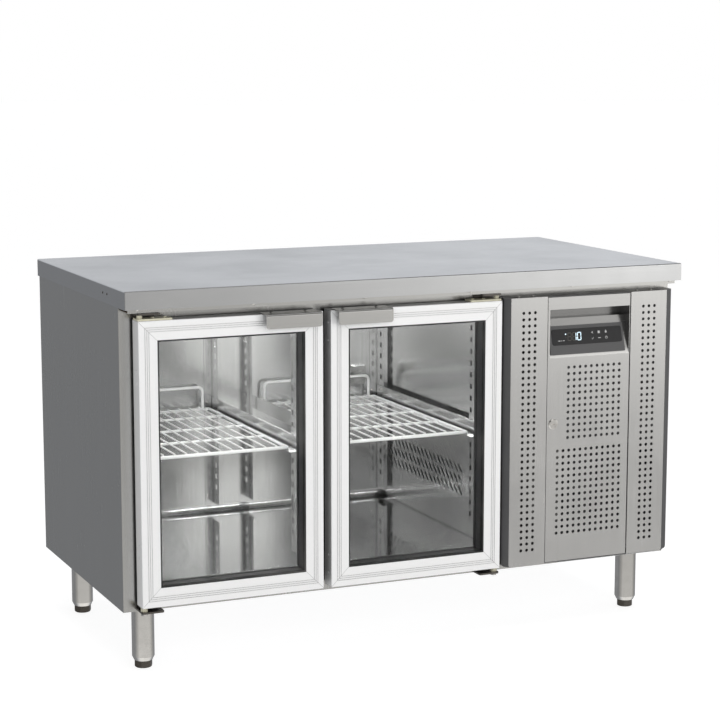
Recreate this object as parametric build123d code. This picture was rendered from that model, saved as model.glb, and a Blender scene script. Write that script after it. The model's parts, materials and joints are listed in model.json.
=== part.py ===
from build123d import *
import math
import os

# Undercounter refrigerator with two glass doors and a machine bay on the right.
# Millimetres. Z is up and the doors face -Y. The origin is on the floor, in the
# middle of the overall width and of the overall depth, handles included.

# ---- driving dimensions -------------------------------------------------------
WIDTH = 1360.0
WORKTOP_DEPTH = 700.0
HEIGHT = 850.0
HANDLE_PROUD = 17.0                    # the handles stand this far in front of the worktop
SHEET = 1.2                            # folded stainless sheet
THICK_SHEET = 1.5                      # worktop, handles
PLATE = 2.0                            # folded steel of the service cover and trays
FIT = 0.05                             # radial clearance of a running fit

OVERALL_DEPTH = WORKTOP_DEPTH + HANDLE_PROUD
HALF_WIDTH = WIDTH / 2
TOP_FRONT = -OVERALL_DEPTH / 2 + HANDLE_PROUD     # front face of the worktop
TOP_BACK = OVERALL_DEPTH / 2

# worktop and cabinet shell
WORKTOP_HEIGHT = 40.0
CABINET_TOP = HEIGHT - WORKTOP_HEIGHT
CABINET_BOTTOM = 145.0
CABINET_SIDE = HALF_WIDTH - 2.0                   # outer face of the side panels
CABINET_FRONT = TOP_FRONT + 55.0
CABINET_BACK = TOP_BACK - 10.0
SIDE_FLANGE = 25.0
FOLD = 16.0                                       # return fold under the worktop's front
RAIL_SETBACK = 13.0
RAIL_DROP = 8.5

# cold space
OPENING_LEFT, OPENING_RIGHT = -628.0, 205.0
OPENING_BOTTOM, OPENING_TOP = 205.0, 745.0
LINER_FRONT = CABINET_FRONT + 14.0
LINER_BACK = CABINET_BACK - 40.0
LINER_RIGHT = 340.0
COVE = 18.0
MACHINE_LEFT = 390.0                              # machine side of the insulated wall
CHAMBER_FRONT = LINER_FRONT + 37.5                # insulated front of the coil chamber
MULLION_LEFT, MULLION_RIGHT = -253.0, -187.0
MULLION_DEPTH = 15.0

# doors
DOOR_FRONT = TOP_FRONT + 5.0
DOOR_DEPTH = 40.0
DOOR_BOTTOM, DOOR_TOP = 163.0, 785.0
LEFT_DOOR = (-650.0, -229.5)
RIGHT_DOOR = (-211.0, 210.0)
FRAME_FACE = 42.0
FRAME_WALL = 2.5
REVEAL = 3.5
REVEAL_DEPTH = 47.0
PANE = 4.0
GASKET_WIDTH = 18.0
GASKET_INSET = 5.0
GROOVES = (14.5, 18.8, 23.1)                      # from the outer edge of the frame's face
GROOVE_WIDTH, GROOVE_DEPTH = 1.6, 1.0
HINGE_SIDE_SCREWS = (677.0, 651.0, 298.0, 272.0)  # heights on the frame's outer sides
FREE_SIDE_SCREWS = (757.0, 717.0, 235.0, 194.0)
PIVOT_INSET = 8.0
PIVOT_Y = DOOR_FRONT + 15.0
PIN_D = 8.0
HINGE_PLATE_T = 4.0
BRACKET_TOP = 801.0
BOTTOM_LEAF = 150.0
HANDLE_WIDTH = 130.0
HANDLE_INSET = 10.0
HANDLE_HEIGHT = 30.0
HANDLE_BEND = 5.0

# shelves and their supports
BAYS = ((-606.5, -259.5), (-159.5, 187.5))        # clear width between the pilaster webs
PILASTER_BOTTOM, PILASTER_TOP = 226.0, 735.0
SLOT = 12.0
SLOT_FIRST, SLOT_PITCH, SLOT_COUNT = 270.0, 27.5, 17
FRONT_WEB = (LINER_FRONT + 1.0, LINER_FRONT + 54.0)
REAR_WEB = (LINER_BACK - 45.0, LINER_BACK)
FRONT_SLOT_Y = FRONT_WEB[1] - 9.5
REAR_SLOT_Y = LINER_BACK - 25.0
FRONT_FLANGES = (OPENING_LEFT, -235.0, -205.0, OPENING_RIGHT)
REAR_FLANGE, REAR_LIP = 20.0, 10.0
PILASTER_SCREWS = (246.0, 482.0, 718.0)
RUNNER_BOTTOM = 462.0
RUNNER_HEIGHT = 33.0
RUNNER_FLANGE = 22.0
SHELF_WIDTH, SHELF_DEPTH = 325.0, 530.0           # 1/1 gastronorm
SHELF_FRONT = CABINET_FRONT + 50.0
RIM_D, CROSS_D, WIRE_D, LOOP_D = 8.0, 6.0, 4.0, 7.0
WIRE_COUNT, WIRE_PITCH = 11, 26.4
LOOP_WIDTH, LOOP_HEIGHT, LOOP_BEND = 284.0, 56.0, 12.0

# service cover
COVER_LEFT, COVER_RIGHT = 233.0, 644.0            # stainless front
COVER_BODY_LEFT, COVER_BODY_RIGHT = 222.0, 667.0  # dark body behind it
COVER_BOTTOM, COVER_TOP = 162.0, 788.0
SEAM_LEFT, SEAM_RIGHT = 327.0, 548.0
RECESS_BOTTOM, RECESS_TOP = 645.0, 757.0
RECESS_DEPTH = 44.0
RECESS_CLEAR = 5.5                                # the swinging recess clears the left seam
CORNER_CUT = 3.5
HOLE_D = 7.2
HOLE_PITCH = 15.0
STRIP_HOLES_X = (280.0, 596.0)
STRIP_FIELD = (475.5, 3, 38)                      # centre height, columns, rows
PANEL_FIELDS = ((451.5, 538.5, 10, 12), (440.0, 328.5, 12, 14))
SLOPE_TOP, SLOPE_LEAN = 733.0, 24.5               # leans back this far over its height
BEZEL_LEFT, BEZEL_RIGHT = 337.0, 534.0
BEZEL_BOTTOM, BEZEL_TOP = 651.0, 716.0
WINDOW_LEFT, WINDOW_RIGHT = 344.0, 529.0
WINDOW_BOTTOM, WINDOW_TOP = 672.0, 708.0
WINDOW_CORNER = 5.0
BEZEL_T = 2.0
CASE_WIDTH, CASE_HEIGHT, CASE_DEPTH = 150.0, 28.0, 22.0
PANEL_PIVOT = (540.5, DOOR_FRONT + 4.5)
PANEL_PIN_D = 5.0
PANEL_TOP = COVER_TOP - PLATE - 0.5
PANEL_RIGHT = SEAM_RIGHT - 3.0
LOCK_X, LOCK_Z = 345.0, 490.5
COVER_SCREWS = (262.0, 300.0, 575.0, 612.0)

# legs and feet
LEG_X = 615.0
LEG_Y = (CABINET_FRONT + 63.0, CABINET_BACK - 92.0)
LEG_D = 50.0
LEG_TAPER, LEG_TAPER_HEIGHT = 4.5, 9.0
LEG_PLATE = 90.0
FOOT_HEIGHT = 17.0
FOOT_ACROSS = 36.0
STUD_D = 12.0
STUD_LENGTH = 62.0

# cooling system
AIR_SLOT_LENGTH, AIR_SLOT_WIDTH = 28.0, 6.0
AIR_SLOT_Y, AIR_SLOT_Z = -138.5, 306.0            # the first slot
AIR_SLOT_COLUMNS, AIR_SLOT_ROWS = 18, 3
AIR_SLOT_PITCH, AIR_ROW_PITCH = 23.0, 27.0
FIN_T = 0.6
TUBE_D = 9.0
COIL_Y, COIL_Z = (-80.0, 230.0), (410.0, 600.0)
COIL_FINS = 32
CONDENSER_Y = (CABINET_FRONT + 24.0, CABINET_FRONT + 64.0)
CONDENSER_TOP = 410.0
CONDENSER_FINS = 31
CONDENSER_FAN = (535.0, CABINET_FRONT + 82.0, 290.0)
EVAPORATOR_FAN = (273.0, 75.0, 640.0)
CONDENSER_FAN_R, EVAPORATOR_FAN_R = 100.0, 54.0
SHAFT_D = 6.0
BASE_Z = CABINET_BOTTOM + SHEET                   # floor of the machine bay
COMPRESSOR = (520.0, 130.0)
PIPE_D, LINE_D = 10.0, 8.0
PIPE_Y = (205.0, 232.0)
PIPE_Z = 520.0
CORD_X, CORD_D = CABINET_SIDE - 60.0, 7.0
CORD_HOLE_Z = 190.0
PROBE_X, PROBE_Z = 136.0, 524.0

os.makedirs("parts", exist_ok=True)


# ---- helpers ------------------------------------------------------------------
def block(x0, x1, y0, y1, z0, z1):
    """A box between two corners."""
    size = Box(abs(x1 - x0), abs(y1 - y0), abs(z1 - z0))
    return Pos((x0 + x1) / 2, (y0 + y1) / 2, (z0 + z1) / 2) * size


def rod(start, end, diameter):
    """A round bar between two points."""
    start, end = Vector(*start), Vector(*end)
    along = end - start
    bar = Pos(0, 0, along.length / 2) * Cylinder(diameter / 2, along.length)
    return Plane(origin=start, z_dir=along) * bar


def wire(points, diameter, bend):
    """A round bar bent through a list of points."""
    path = FilletPolyline(*points, radius=bend)
    return sweep(Plane(origin=path @ 0, z_dir=path % 0) * Circle(diameter / 2), path=path)


def rect(x0, x1, z0, z1):
    """A flat rectangle between two corners."""
    return Pos((x0 + x1) / 2, (z0 + z1) / 2) * Rectangle(x1 - x0, z1 - z0)


def front_plate(sketch, front_y, thickness):
    """A sketch in x and z as a sheet whose front face is at front_y."""
    return extrude(Plane.XZ.offset(-front_y - thickness) * sketch, thickness, dir=(0, -1, 0))


def side_extrusion(points, x0, x1):
    """An outline in y and z, carried from x0 to x1."""
    return extrude(Plane.YZ.offset(x0) * Polygon(*points, align=None), x1 - x0, dir=(1, 0, 0))


def plan_extrusion(points, z0, z1):
    """An outline in x and y, carried from z0 to z1."""
    return extrude(Plane.XY.offset(z0) * Polygon(*points, align=None), z1 - z0, dir=(0, 0, 1))


def ring(x0, x1, z0, z1, width, front_y, thickness):
    """A rectangular ring seen from the front, with bars of one width."""
    hole = rect(x0 + width, x1 - width, z0 + width, z1 - width)
    return front_plate(rect(x0, x1, z0, z1) - hole, front_y, thickness)


def button_head(place, diameter=8.0, height=2.5):
    """A domed screw head standing on the XY plane of a location, with a cross slot."""
    head = Pos(0, 0, height / 2) * Cylinder(diameter / 2, height)
    head = fillet(head.edges().group_by(Axis.Z)[-1], height * 0.6)
    slot = Box(diameter * 0.6, diameter * 0.14, height * 0.8)
    slot += Box(diameter * 0.14, diameter * 0.6, height * 0.8)
    return place * (head - Pos(0, 0, height) * slot)


def facing(x, y, z, direction):
    """A location at a point whose Z points along a direction."""
    return Plane(origin=(x, y, z), z_dir=direction).location


def mirror_x(part, about=0.0):
    return mirror(part, about=Plane.YZ.offset(about))


def save(name, *solids):
    """Write one sub-part, which may be a group of separate solids."""
    pieces = [solid for item in solids for solid in item.solids()]
    shape = pieces[0] if len(pieces) == 1 else Compound(children=pieces)
    shape.label = name
    export_step(shape, f"parts/{name}.step")


# ---- worktop --------------------------------------------------------------------
def worktop_skin():
    outer = block(-HALF_WIDTH, HALF_WIDTH, TOP_FRONT, TOP_BACK, CABINET_TOP, HEIGHT)
    upright = outer.edges().filter_by(Axis.Z)
    outer = fillet(upright + outer.edges().group_by(Axis.Z)[-1], 2.5)
    t = THICK_SHEET
    hollow = block(-HALF_WIDTH + t, HALF_WIDTH - t, TOP_FRONT + t, TOP_BACK - t,
                   CABINET_TOP, HEIGHT - t)
    fold = block(-HALF_WIDTH + t, HALF_WIDTH - t, TOP_FRONT + t, TOP_FRONT + FOLD,
                 CABINET_TOP, CABINET_TOP + t)
    return outer - hollow + fold


def worktop_core():
    t = THICK_SHEET
    return block(-HALF_WIDTH + t, HALF_WIDTH - t, TOP_FRONT + FOLD, TOP_BACK - t,
                 CABINET_TOP, HEIGHT - t)


def worktop_front_rail():
    front = TOP_FRONT + RAIL_SETBACK
    bottom = CABINET_TOP - RAIL_DROP
    end = CABINET_SIDE - 8.0
    channel = block(-end, end, front, CABINET_FRONT, bottom, CABINET_TOP)
    return channel - block(-end, end, front + SHEET, CABINET_FRONT, bottom + SHEET, CABINET_TOP)


# ---- cabinet shell ----------------------------------------------------------------
def left_side_panel():
    z0, z1 = CABINET_BOTTOM, CABINET_TOP
    inner = -CABINET_SIDE + SHEET
    plate = block(-CABINET_SIDE, inner, CABINET_FRONT, CABINET_BACK, z0, z1)
    flange = block(inner, -CABINET_SIDE + SIDE_FLANGE, CABINET_FRONT, CABINET_FRONT + SHEET, z0, z1)
    return fillet((plate + flange).edges().filter_by(Axis.Z).sort_by(Axis.X)[0], 1.0)


def back_panel():
    inside = CABINET_SIDE - SHEET
    sheet = rect(-inside, inside, CABINET_BOTTOM, CABINET_TOP)
    sheet -= rect(MACHINE_LEFT + 20, inside - 20, CABINET_BOTTOM + 30, CABINET_TOP - 110)
    return front_plate(sheet, CABINET_BACK - SHEET, SHEET)


def bottom_panel():
    inside = CABINET_SIDE - SHEET
    return block(-inside, inside, CABINET_FRONT + SHEET, CABINET_BACK - SHEET,
                 CABINET_BOTTOM, CABINET_BOTTOM + SHEET)


def top_panel():
    return Pos(0, 0, CABINET_TOP - SHEET - CABINET_BOTTOM) * bottom_panel()


def front_frame():
    """The cabinet's front sheet round the door openings, and its rail over the machine bay."""
    end = CABINET_SIDE - SIDE_FLANGE
    outline = rect(-end, MACHINE_LEFT, CABINET_BOTTOM, CABINET_TOP)
    outline += rect(MACHINE_LEFT, end, OPENING_TOP, CABINET_TOP)
    outline -= rect(OPENING_LEFT, OPENING_RIGHT, OPENING_BOTTOM, OPENING_TOP)
    sheet = front_plate(outline, CABINET_FRONT, SHEET)
    returns = ring(OPENING_LEFT - SHEET, OPENING_RIGHT + SHEET, OPENING_BOTTOM - SHEET,
                   OPENING_TOP + SHEET, SHEET, CABINET_FRONT, LINER_FRONT - CABINET_FRONT)
    return sheet + returns


def centre_mullion():
    post = block(MULLION_LEFT, MULLION_RIGHT, CABINET_FRONT, CABINET_FRONT + MULLION_DEPTH,
                 OPENING_BOTTOM, OPENING_TOP)
    post = fillet(post.edges().filter_by(Axis.Z).group_by(Axis.Y)[0], 2.0)
    bore = block(MULLION_LEFT + SHEET, MULLION_RIGHT - SHEET, CABINET_FRONT + SHEET,
                 CABINET_FRONT + MULLION_DEPTH - SHEET, OPENING_BOTTOM, OPENING_TOP)
    return post - bore


def pipe_holes():
    """Where the two refrigerant lines pass through the insulated wall."""
    return [rod((LINER_RIGHT - 5, y, PIPE_Z), (MACHINE_LEFT + 5, y, PIPE_Z), PIPE_D + 2.0)
            for y in PIPE_Y]


def inner_liner():
    """The welded tub of the cold space, and the sheet that faces the machine side."""
    t = SHEET
    x0, x1, z0, z1 = OPENING_LEFT, LINER_RIGHT, OPENING_BOTTOM, OPENING_TOP
    tub = block(x0 - t, x1 + t, LINER_FRONT, LINER_BACK + t, z0 - t, z1 + t)
    space = block(x0, x1, LINER_FRONT, LINER_BACK, z0, z1)
    rear_edges = space.edges().filter_by(Axis.X).group_by(Axis.Y)[-1]
    tub -= fillet(rear_edges.sort_by(Axis.Z)[0], COVE)
    tub += block(OPENING_RIGHT + t, x1, CHAMBER_FRONT - t, CHAMBER_FRONT, z0, z1)
    facing_sheet = block(MACHINE_LEFT - t, MACHINE_LEFT, CABINET_FRONT + t, CABINET_BACK - t,
                         CABINET_BOTTOM + t, CABINET_TOP - t)
    return [tub - pipe_holes(), facing_sheet - pipe_holes()]


def insulation():
    """Foam slabs between the liner and the outer sheets."""
    t = SHEET
    left, right = -CABINET_SIDE + t, MACHINE_LEFT - t
    front, back = CABINET_FRONT + t, CABINET_BACK - t
    low, high = OPENING_BOTTOM - t, OPENING_TOP + t
    bottom = block(left, right, front, back, CABINET_BOTTOM + t, low)
    top = block(left, right, front, back, high, CABINET_TOP - t)
    rear = block(left, right, LINER_BACK + t, back, low, high)
    left_wall = block(left, OPENING_LEFT - t, front, LINER_BACK + t, low, high)
    right_wall = block(LINER_RIGHT + t, right, front, LINER_BACK + t, low, high)
    chamber_front = block(OPENING_RIGHT + t, LINER_RIGHT, front, CHAMBER_FRONT - t,
                          OPENING_BOTTOM, OPENING_TOP)
    return [bottom, top, rear, left_wall, right_wall - pipe_holes(), chamber_front]


# ---- pilasters, runners and shelves ------------------------------------------------
def slot_heights():
    return [SLOT_FIRST + SLOT_PITCH * i for i in range(SLOT_COUNT)]


def webs():
    """Each web plane with the side that its bay lies on: +1 means towards +X."""
    return [(x, side) for left, right in BAYS for x, side in ((left, 1), (right, -1))]


def pilaster(web_x, side, web_y, flange, lip, slot_y):
    """A slotted upright: web along y, a flange at one end and a lip at the other."""
    z0, z1 = PILASTER_BOTTOM, PILASTER_TOP
    outside = web_x - side * SHEET
    post = block(web_x, outside, web_y[0], web_y[1], z0, z1)
    for reach, y in (flange, lip):
        start = outside if reach * side > 0 else web_x
        post += block(start, web_x + reach, y, y + SHEET, z0, z1)
    for z in slot_heights():
        post -= block(web_x + side, outside - side, slot_y - SLOT / 2, slot_y + SLOT / 2,
                      z - SLOT / 2, z + SLOT / 2)
    return post


def front_pilasters():
    posts = []
    for (x, side), end in zip(webs(), FRONT_FLANGES):
        flange = (end - x, FRONT_WEB[0])
        lip = (-side * 6.0, FRONT_WEB[1] - SHEET)
        posts.append(pilaster(x, side, FRONT_WEB, flange, lip, FRONT_SLOT_Y))
    return posts


def rear_pilasters():
    posts = []
    for x, side in webs():
        flange = (side * REAR_FLANGE, REAR_WEB[1] - SHEET)
        lip = (-side * REAR_LIP, REAR_WEB[0])
        post = pilaster(x, side, REAR_WEB, flange, lip, REAR_SLOT_Y)
        foot_edges = post.edges().filter_by(Axis.Y).group_by(Axis.Z)[0]
        corner = foot_edges.sort_by(Axis.X)[-1 if side > 0 else 0]
        posts.append(fillet(corner, REAR_FLANGE * 0.6))
    return posts


def shelf_runners():
    """An angle along each side of each bay, hooked into the pilaster slots."""
    z0, z1 = RUNNER_BOTTOM, RUNNER_BOTTOM + RUNNER_HEIGHT
    y0, y1 = FRONT_WEB[0] + 2.0, LINER_BACK - 3.0
    slot_z = min(slot_heights(), key=lambda z: abs(z - z1 + SLOT / 2))
    runners = []
    for x, side in webs():
        runner = block(x, x + side * SHEET, y0, y1, z0, z1)
        runner += block(x, x + side * RUNNER_FLANGE, y0, y1, z0, z0 + SHEET)
        for y in (FRONT_SLOT_Y, REAR_SLOT_Y):
            runner += block(x, x - side * 4.0, y - SLOT / 2 + 1, y + SLOT / 2 - 1,
                            slot_z - SLOT / 2 + 1, slot_z + 2)
        runners.append(runner)
    return runners


def shelf(bay):
    """A wire shelf: round rim, three cross bars, wires from front to back, rear upstand."""
    centre = (bay[0] + bay[1]) / 2
    r = RIM_D / 2
    rim_z = RUNNER_BOTTOM + SHEET + r
    x0, x1 = centre - SHELF_WIDTH / 2 + r, centre + SHELF_WIDTH / 2 - r
    y0, y1 = SHELF_FRONT + r, SHELF_FRONT + SHELF_DEPTH - r
    corners = [(x0, y0), (x1, y0), (x1, y1), (x0, y1)]
    rim = Part()
    for (ax, ay), (bx, by) in zip(corners, corners[1:] + corners[:1]):
        rim += rod((ax, ay, rim_z), (bx, by, rim_z), RIM_D)
        rim += Pos(ax, ay, rim_z) * Sphere(r)
    grid = rim
    for share in (0.27, 0.53, 0.79):
        y = SHELF_FRONT + SHELF_DEPTH * share
        grid += rod((x0, y, rim_z + 1), (x1, y, rim_z + 1), CROSS_D)
    wire_z = rim_z + r + WIRE_D / 2 - 0.5
    for i in range(WIRE_COUNT):
        x = centre + WIRE_PITCH * (i - (WIRE_COUNT - 1) / 2)
        grid += rod((x, y0 - 1, wire_z), (x, y1 + 1, wire_z), WIRE_D)
    half = LOOP_WIDTH / 2
    top = rim_z + LOOP_HEIGHT
    loop = [(centre - half, y1, rim_z), (centre - half, y1, top), (centre + half, y1, top),
            (centre + half, y1, rim_z)]
    return grid + wire(loop, LOOP_D, LOOP_BEND)


# ---- door hinges -------------------------------------------------------------------
def hinge_points():
    """Each pivot's x, with the side that the door lies on: +1 means towards +X."""
    return ((LEFT_DOOR[0] + PIVOT_INSET, 1), (RIGHT_DOOR[1] - PIVOT_INSET, -1))


def hinge_brackets():
    """Four angles on the cabinet's front, above and below each door's pivot."""
    brackets = []
    for x, side in hinge_points():
        x0, x1 = x - side * 8.0, x + side * 42.0
        top = block(x0, x1, PIVOT_Y - 13, CABINET_FRONT, BRACKET_TOP - 4, BRACKET_TOP)
        top += block(x0, x1, CABINET_FRONT - 3, CABINET_FRONT, BRACKET_TOP - 15, BRACKET_TOP - 4)
        low = block(x0, x1, PIVOT_Y - 13, CABINET_FRONT, BOTTOM_LEAF, BOTTOM_LEAF + 4)
        low += block(x0, x1, CABINET_FRONT - 3, CABINET_FRONT, BOTTOM_LEAF + 4, BOTTOM_LEAF + 14)
        for leaf in (top, low):
            tip = leaf.edges().filter_by(Axis.Z).group_by(Axis.Y)[0]
            leaf = fillet(tip, 5.0)
            brackets.append(leaf - rod((x, PIVOT_Y, 100), (x, PIVOT_Y, HEIGHT), PIN_D))
    return brackets


def hinge_pins():
    """Two plain pins above the doors, two bolts below them."""
    pins = []
    for x, _ in hinge_points():
        pins.append(rod((x, PIVOT_Y, DOOR_TOP - 10), (x, PIVOT_Y, BRACKET_TOP), PIN_D))
        head = extrude(Plane.XY.offset(BOTTOM_LEAF - 5) * RegularPolygon(7.5, 6), 5)
        bolt = Pos(x, PIVOT_Y, 0) * head
        pins.append(bolt + rod((x, PIVOT_Y, BOTTOM_LEAF), (x, PIVOT_Y, DOOR_BOTTOM + 12), PIN_D))
    return pins


def hinge_bushes():
    """White sleeves that carry the doors on their pins."""
    gap = 0.05
    bushes = []
    for x, _ in hinge_points():
        spans = ((DOOR_TOP + HINGE_PLATE_T + gap, BRACKET_TOP - 4, 12.0),
                 (BOTTOM_LEAF + 4, DOOR_BOTTOM - gap, 15.0))
        for z0, z1, diameter in spans:
            sleeve = rod((x, PIVOT_Y, z0), (x, PIVOT_Y, z1), diameter)
            bushes.append(sleeve - rod((x, PIVOT_Y, z0), (x, PIVOT_Y, z1), PIN_D))
    return bushes


def hinge_plate(x, side):
    """The cream plate screwed on the door's top, which turns on the pin."""
    outline = Pos(x + side * 31.0, DOOR_FRONT + 20.0) * RectangleRounded(78.0, 35.0, 4.0)
    plate = extrude(Plane.XY.offset(DOOR_TOP) * outline, HINGE_PLATE_T)
    plate -= rod((x, PIVOT_Y, DOOR_TOP), (x, PIVOT_Y, DOOR_TOP + 9), PIN_D + 2 * FIT)
    heads = [button_head(Pos(x + side * dx, DOOR_FRONT + 20.0, DOOR_TOP + HINGE_PLATE_T), 8.0, 2.0)
             for dx in (30.0, 58.0)]
    return [plate] + heads


# ---- doors -------------------------------------------------------------------------
def frame_member(length):
    """One mitred length of hollow aluminium, outer edge at x = 0, face at y = 0."""
    section = Pos(FRAME_FACE / 2, DOOR_DEPTH / 2) * Rectangle(FRAME_FACE, DOOR_DEPTH)
    section = fillet(section.vertices().group_by(Axis.X)[0], 1.5)
    section -= Pos(FRAME_FACE / 2, DOOR_DEPTH / 2) * Rectangle(
        FRAME_FACE - 2 * FRAME_WALL, DOOR_DEPTH - 2 * FRAME_WALL)
    for x in GROOVES:
        section -= Pos(x, 0) * Rectangle(GROOVE_WIDTH, 2 * GROOVE_DEPTH)
    member = extrude(Plane.XY.offset(-length / 2) * section, length)
    half = length / 2
    face = Polygon((0, -half), (FRAME_FACE, FRAME_FACE - half), (FRAME_FACE, half - FRAME_FACE),
                   (0, half), align=None)
    return member & front_plate(face, 0, DOOR_DEPTH)


def door_frame(span, hinge_side):
    """Four mitred members, drilled for the pins, and the screws of their corner cleats."""
    x0, x1 = span
    width, height = x1 - x0, DOOR_TOP - DOOR_BOTTOM
    cx, cz = (x0 + x1) / 2, (DOOR_TOP + DOOR_BOTTOM) / 2
    pivot_x = x0 + PIVOT_INSET if hinge_side < 0 else x1 - PIVOT_INSET
    bore = rod((pivot_x, PIVOT_Y, DOOR_BOTTOM - 1), (pivot_x, PIVOT_Y, DOOR_BOTTOM + 20), PIN_D + 2 * FIT)
    bore += rod((pivot_x, PIVOT_Y, DOOR_TOP - 20), (pivot_x, PIVOT_Y, DOOR_TOP + 1), PIN_D + 2 * FIT)
    side_member, end_member = frame_member(height), frame_member(width)
    members = [
        Pos(x0, DOOR_FRONT, cz) * side_member,
        Pos(x1, DOOR_FRONT, cz) * Rot(0, 180, 0) * side_member,
        Pos(cx, DOOR_FRONT, DOOR_TOP) * Rot(0, 90, 0) * end_member - bore,
        Pos(cx, DOOR_FRONT, DOOR_BOTTOM) * Rot(0, -90, 0) * end_member - bore,
    ]
    hinge_x, free_x = (x0, x1) if hinge_side < 0 else (x1, x0)
    rows = ((hinge_x, hinge_side, HINGE_SIDE_SCREWS), (free_x, -hinge_side, FREE_SIDE_SCREWS))
    for x, out, heights in rows:
        for z in heights:
            members.append(button_head(facing(x, DOOR_FRONT + 18.0, z, (out, 0, 0)), 6.0, 1.0))
    return members


def glass_size(span):
    """The panes' edges: they stand in grooves in the black reveal."""
    edge = FRAME_FACE + REVEAL - 1.5
    return span[0] + edge, span[1] - edge, DOOR_BOTTOM + edge, DOOR_TOP - edge


def door_glass(span):
    """An outer and an inner pane with sealed air between them."""
    x0, x1, z0, z1 = glass_size(span)
    return [block(x0, x1, y, y + PANE, z0, z1) for y in (DOOR_FRONT + 4.0, DOOR_FRONT + 34.0)]


def door_reveal(span):
    """The black lining of the door's opening, which holds both panes."""
    x0, x1 = span[0] + FRAME_FACE, span[1] - FRAME_FACE
    z0, z1 = DOOR_BOTTOM + FRAME_FACE, DOOR_TOP - FRAME_FACE
    return ring(x0, x1, z0, z1, REVEAL, DOOR_FRONT + 1.0, REVEAL_DEPTH - 1.0) - door_glass(span)


def door_gasket(span):
    """The soft seal on the door's back, just short of the cabinet's front."""
    depth = CABINET_FRONT - DOOR_FRONT - DOOR_DEPTH - 0.3
    x0, x1 = span[0] + GASKET_INSET, span[1] - GASKET_INSET
    z0, z1 = DOOR_BOTTOM + GASKET_INSET, DOOR_TOP - GASKET_INSET
    seal = ring(x0, x1, z0, z1, GASKET_WIDTH, DOOR_FRONT + DOOR_DEPTH, depth)
    return fillet(seal.edges().group_by(Axis.Y)[-1], 2.5)


def door_handle(span, hinge_side):
    """A strip bent forwards off the door's top and down in front of it, with two screws."""
    x0 = span[1] - HANDLE_INSET - HANDLE_WIDTH if hinge_side < 0 else span[0] + HANDLE_INSET
    x1 = x0 + HANDLE_WIDTH
    t = THICK_SHEET
    front, back = TOP_FRONT - HANDLE_PROUD, DOOR_FRONT + 25.0
    top, bottom = DOOR_TOP + t, DOOR_TOP - HANDLE_HEIGHT
    path = [(front, bottom), (front, top), (back, top), (back, DOOR_TOP), (front + t, DOOR_TOP),
            (front + t, bottom)]
    strip = side_extrusion(path, x0, x1)
    outer = strip.edges().filter_by(Axis.X).sort_by(lambda e: e.center().Y - e.center().Z)[0]
    strip = fillet(outer, HANDLE_BEND)
    inner = strip.edges().filter_by(Axis.X).sort_by(
        lambda e: abs(e.center().Y - front - t) + abs(e.center().Z - DOOR_TOP))[0]
    strip = fillet(inner, HANDLE_BEND - t)
    strip = fillet(strip.edges().filter_by(Axis.Y).group_by(Axis.Z)[0], 6.0)
    heads = [button_head(Pos(x, DOOR_FRONT + 14.0, top), 8.0, 2.5) for x in (x0 + 25, x1 - 25)]
    return [strip] + heads


def export_door(name, span, hinge_side):
    pivot_x = span[0] + PIVOT_INSET if hinge_side < 0 else span[1] - PIVOT_INSET
    save(f"{name}_door_frame", *door_frame(span, hinge_side))
    save(f"{name}_door_reveal", door_reveal(span))
    save(f"{name}_door_glass", *door_glass(span))
    save(f"{name}_door_gasket", door_gasket(span))
    save(f"{name}_door_handle", *door_handle(span, hinge_side))
    save(f"{name}_door_hinge_plate", *hinge_plate(pivot_x, -hinge_side))


# ---- service cover -------------------------------------------------------------------
def cover_outline(inset):
    """The plan of the dark body: bevelled on both sides, set in by a distance."""
    front = DOOR_FRONT + SHEET + inset
    return ((COVER_BODY_LEFT + inset, CABINET_FRONT), (COVER_BODY_LEFT + inset, DOOR_FRONT + 15),
            (COVER_LEFT + inset, front), (COVER_RIGHT - inset, front),
            (COVER_BODY_RIGHT - inset, DOOR_FRONT + 18), (COVER_BODY_RIGHT - inset, CABINET_FRONT))


def service_cover_frame():
    """The dark body that carries the stainless front and the panel's hinge pins."""
    body = plan_extrusion(cover_outline(0.0), COVER_BOTTOM, COVER_TOP)
    low = body.edges().filter_by(Axis.Y).group_by(Axis.Z)[0]
    body = chamfer(low, CORNER_CUT)
    body -= plan_extrusion(cover_outline(PLATE), COVER_BOTTOM + PLATE, COVER_TOP - PLATE)
    skin_back = DOOR_FRONT + SHEET
    floor, ceiling = COVER_BOTTOM + PLATE, COVER_TOP - PLATE
    window = rect(COVER_LEFT + 9, COVER_RIGHT - 9, floor + 10, ceiling - 6)
    window += rect(SEAM_LEFT + 8, SEAM_RIGHT, floor, ceiling)
    body -= front_plate(window, skin_back - 1, PLATE + 2)
    uprights = ((SEAM_LEFT - 10, SEAM_LEFT, ceiling), (SEAM_LEFT, SEAM_LEFT + 3, RECESS_BOTTOM),
                (SEAM_RIGHT, SEAM_RIGHT + 12, ceiling))
    for x0, x1, top in uprights:
        body += block(x0, x1, skin_back, skin_back + PLATE, floor, top)
    body -= block(SEAM_LEFT, SEAM_LEFT + 8, skin_back - 1, skin_back + PLATE + 1, RECESS_BOTTOM, ceiling)
    px, py = PANEL_PIVOT
    body += rod((px, py, floor - 0.5), (px, py, floor + 9), PANEL_PIN_D)
    body += rod((px, py, ceiling - 9), (px, py, ceiling + 0.5), PANEL_PIN_D)
    return body


def drilled(sheet, grids):
    """Take grids of holes, each given by centre, columns and rows, from a flat sheet."""
    for cx, cz, columns, rows in grids:
        holes = GridLocations(HOLE_PITCH, HOLE_PITCH, columns, rows) * Circle(HOLE_D / 2)
        sheet -= [Pos(cx, cz) * hole for hole in holes]
    return sheet


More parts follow.
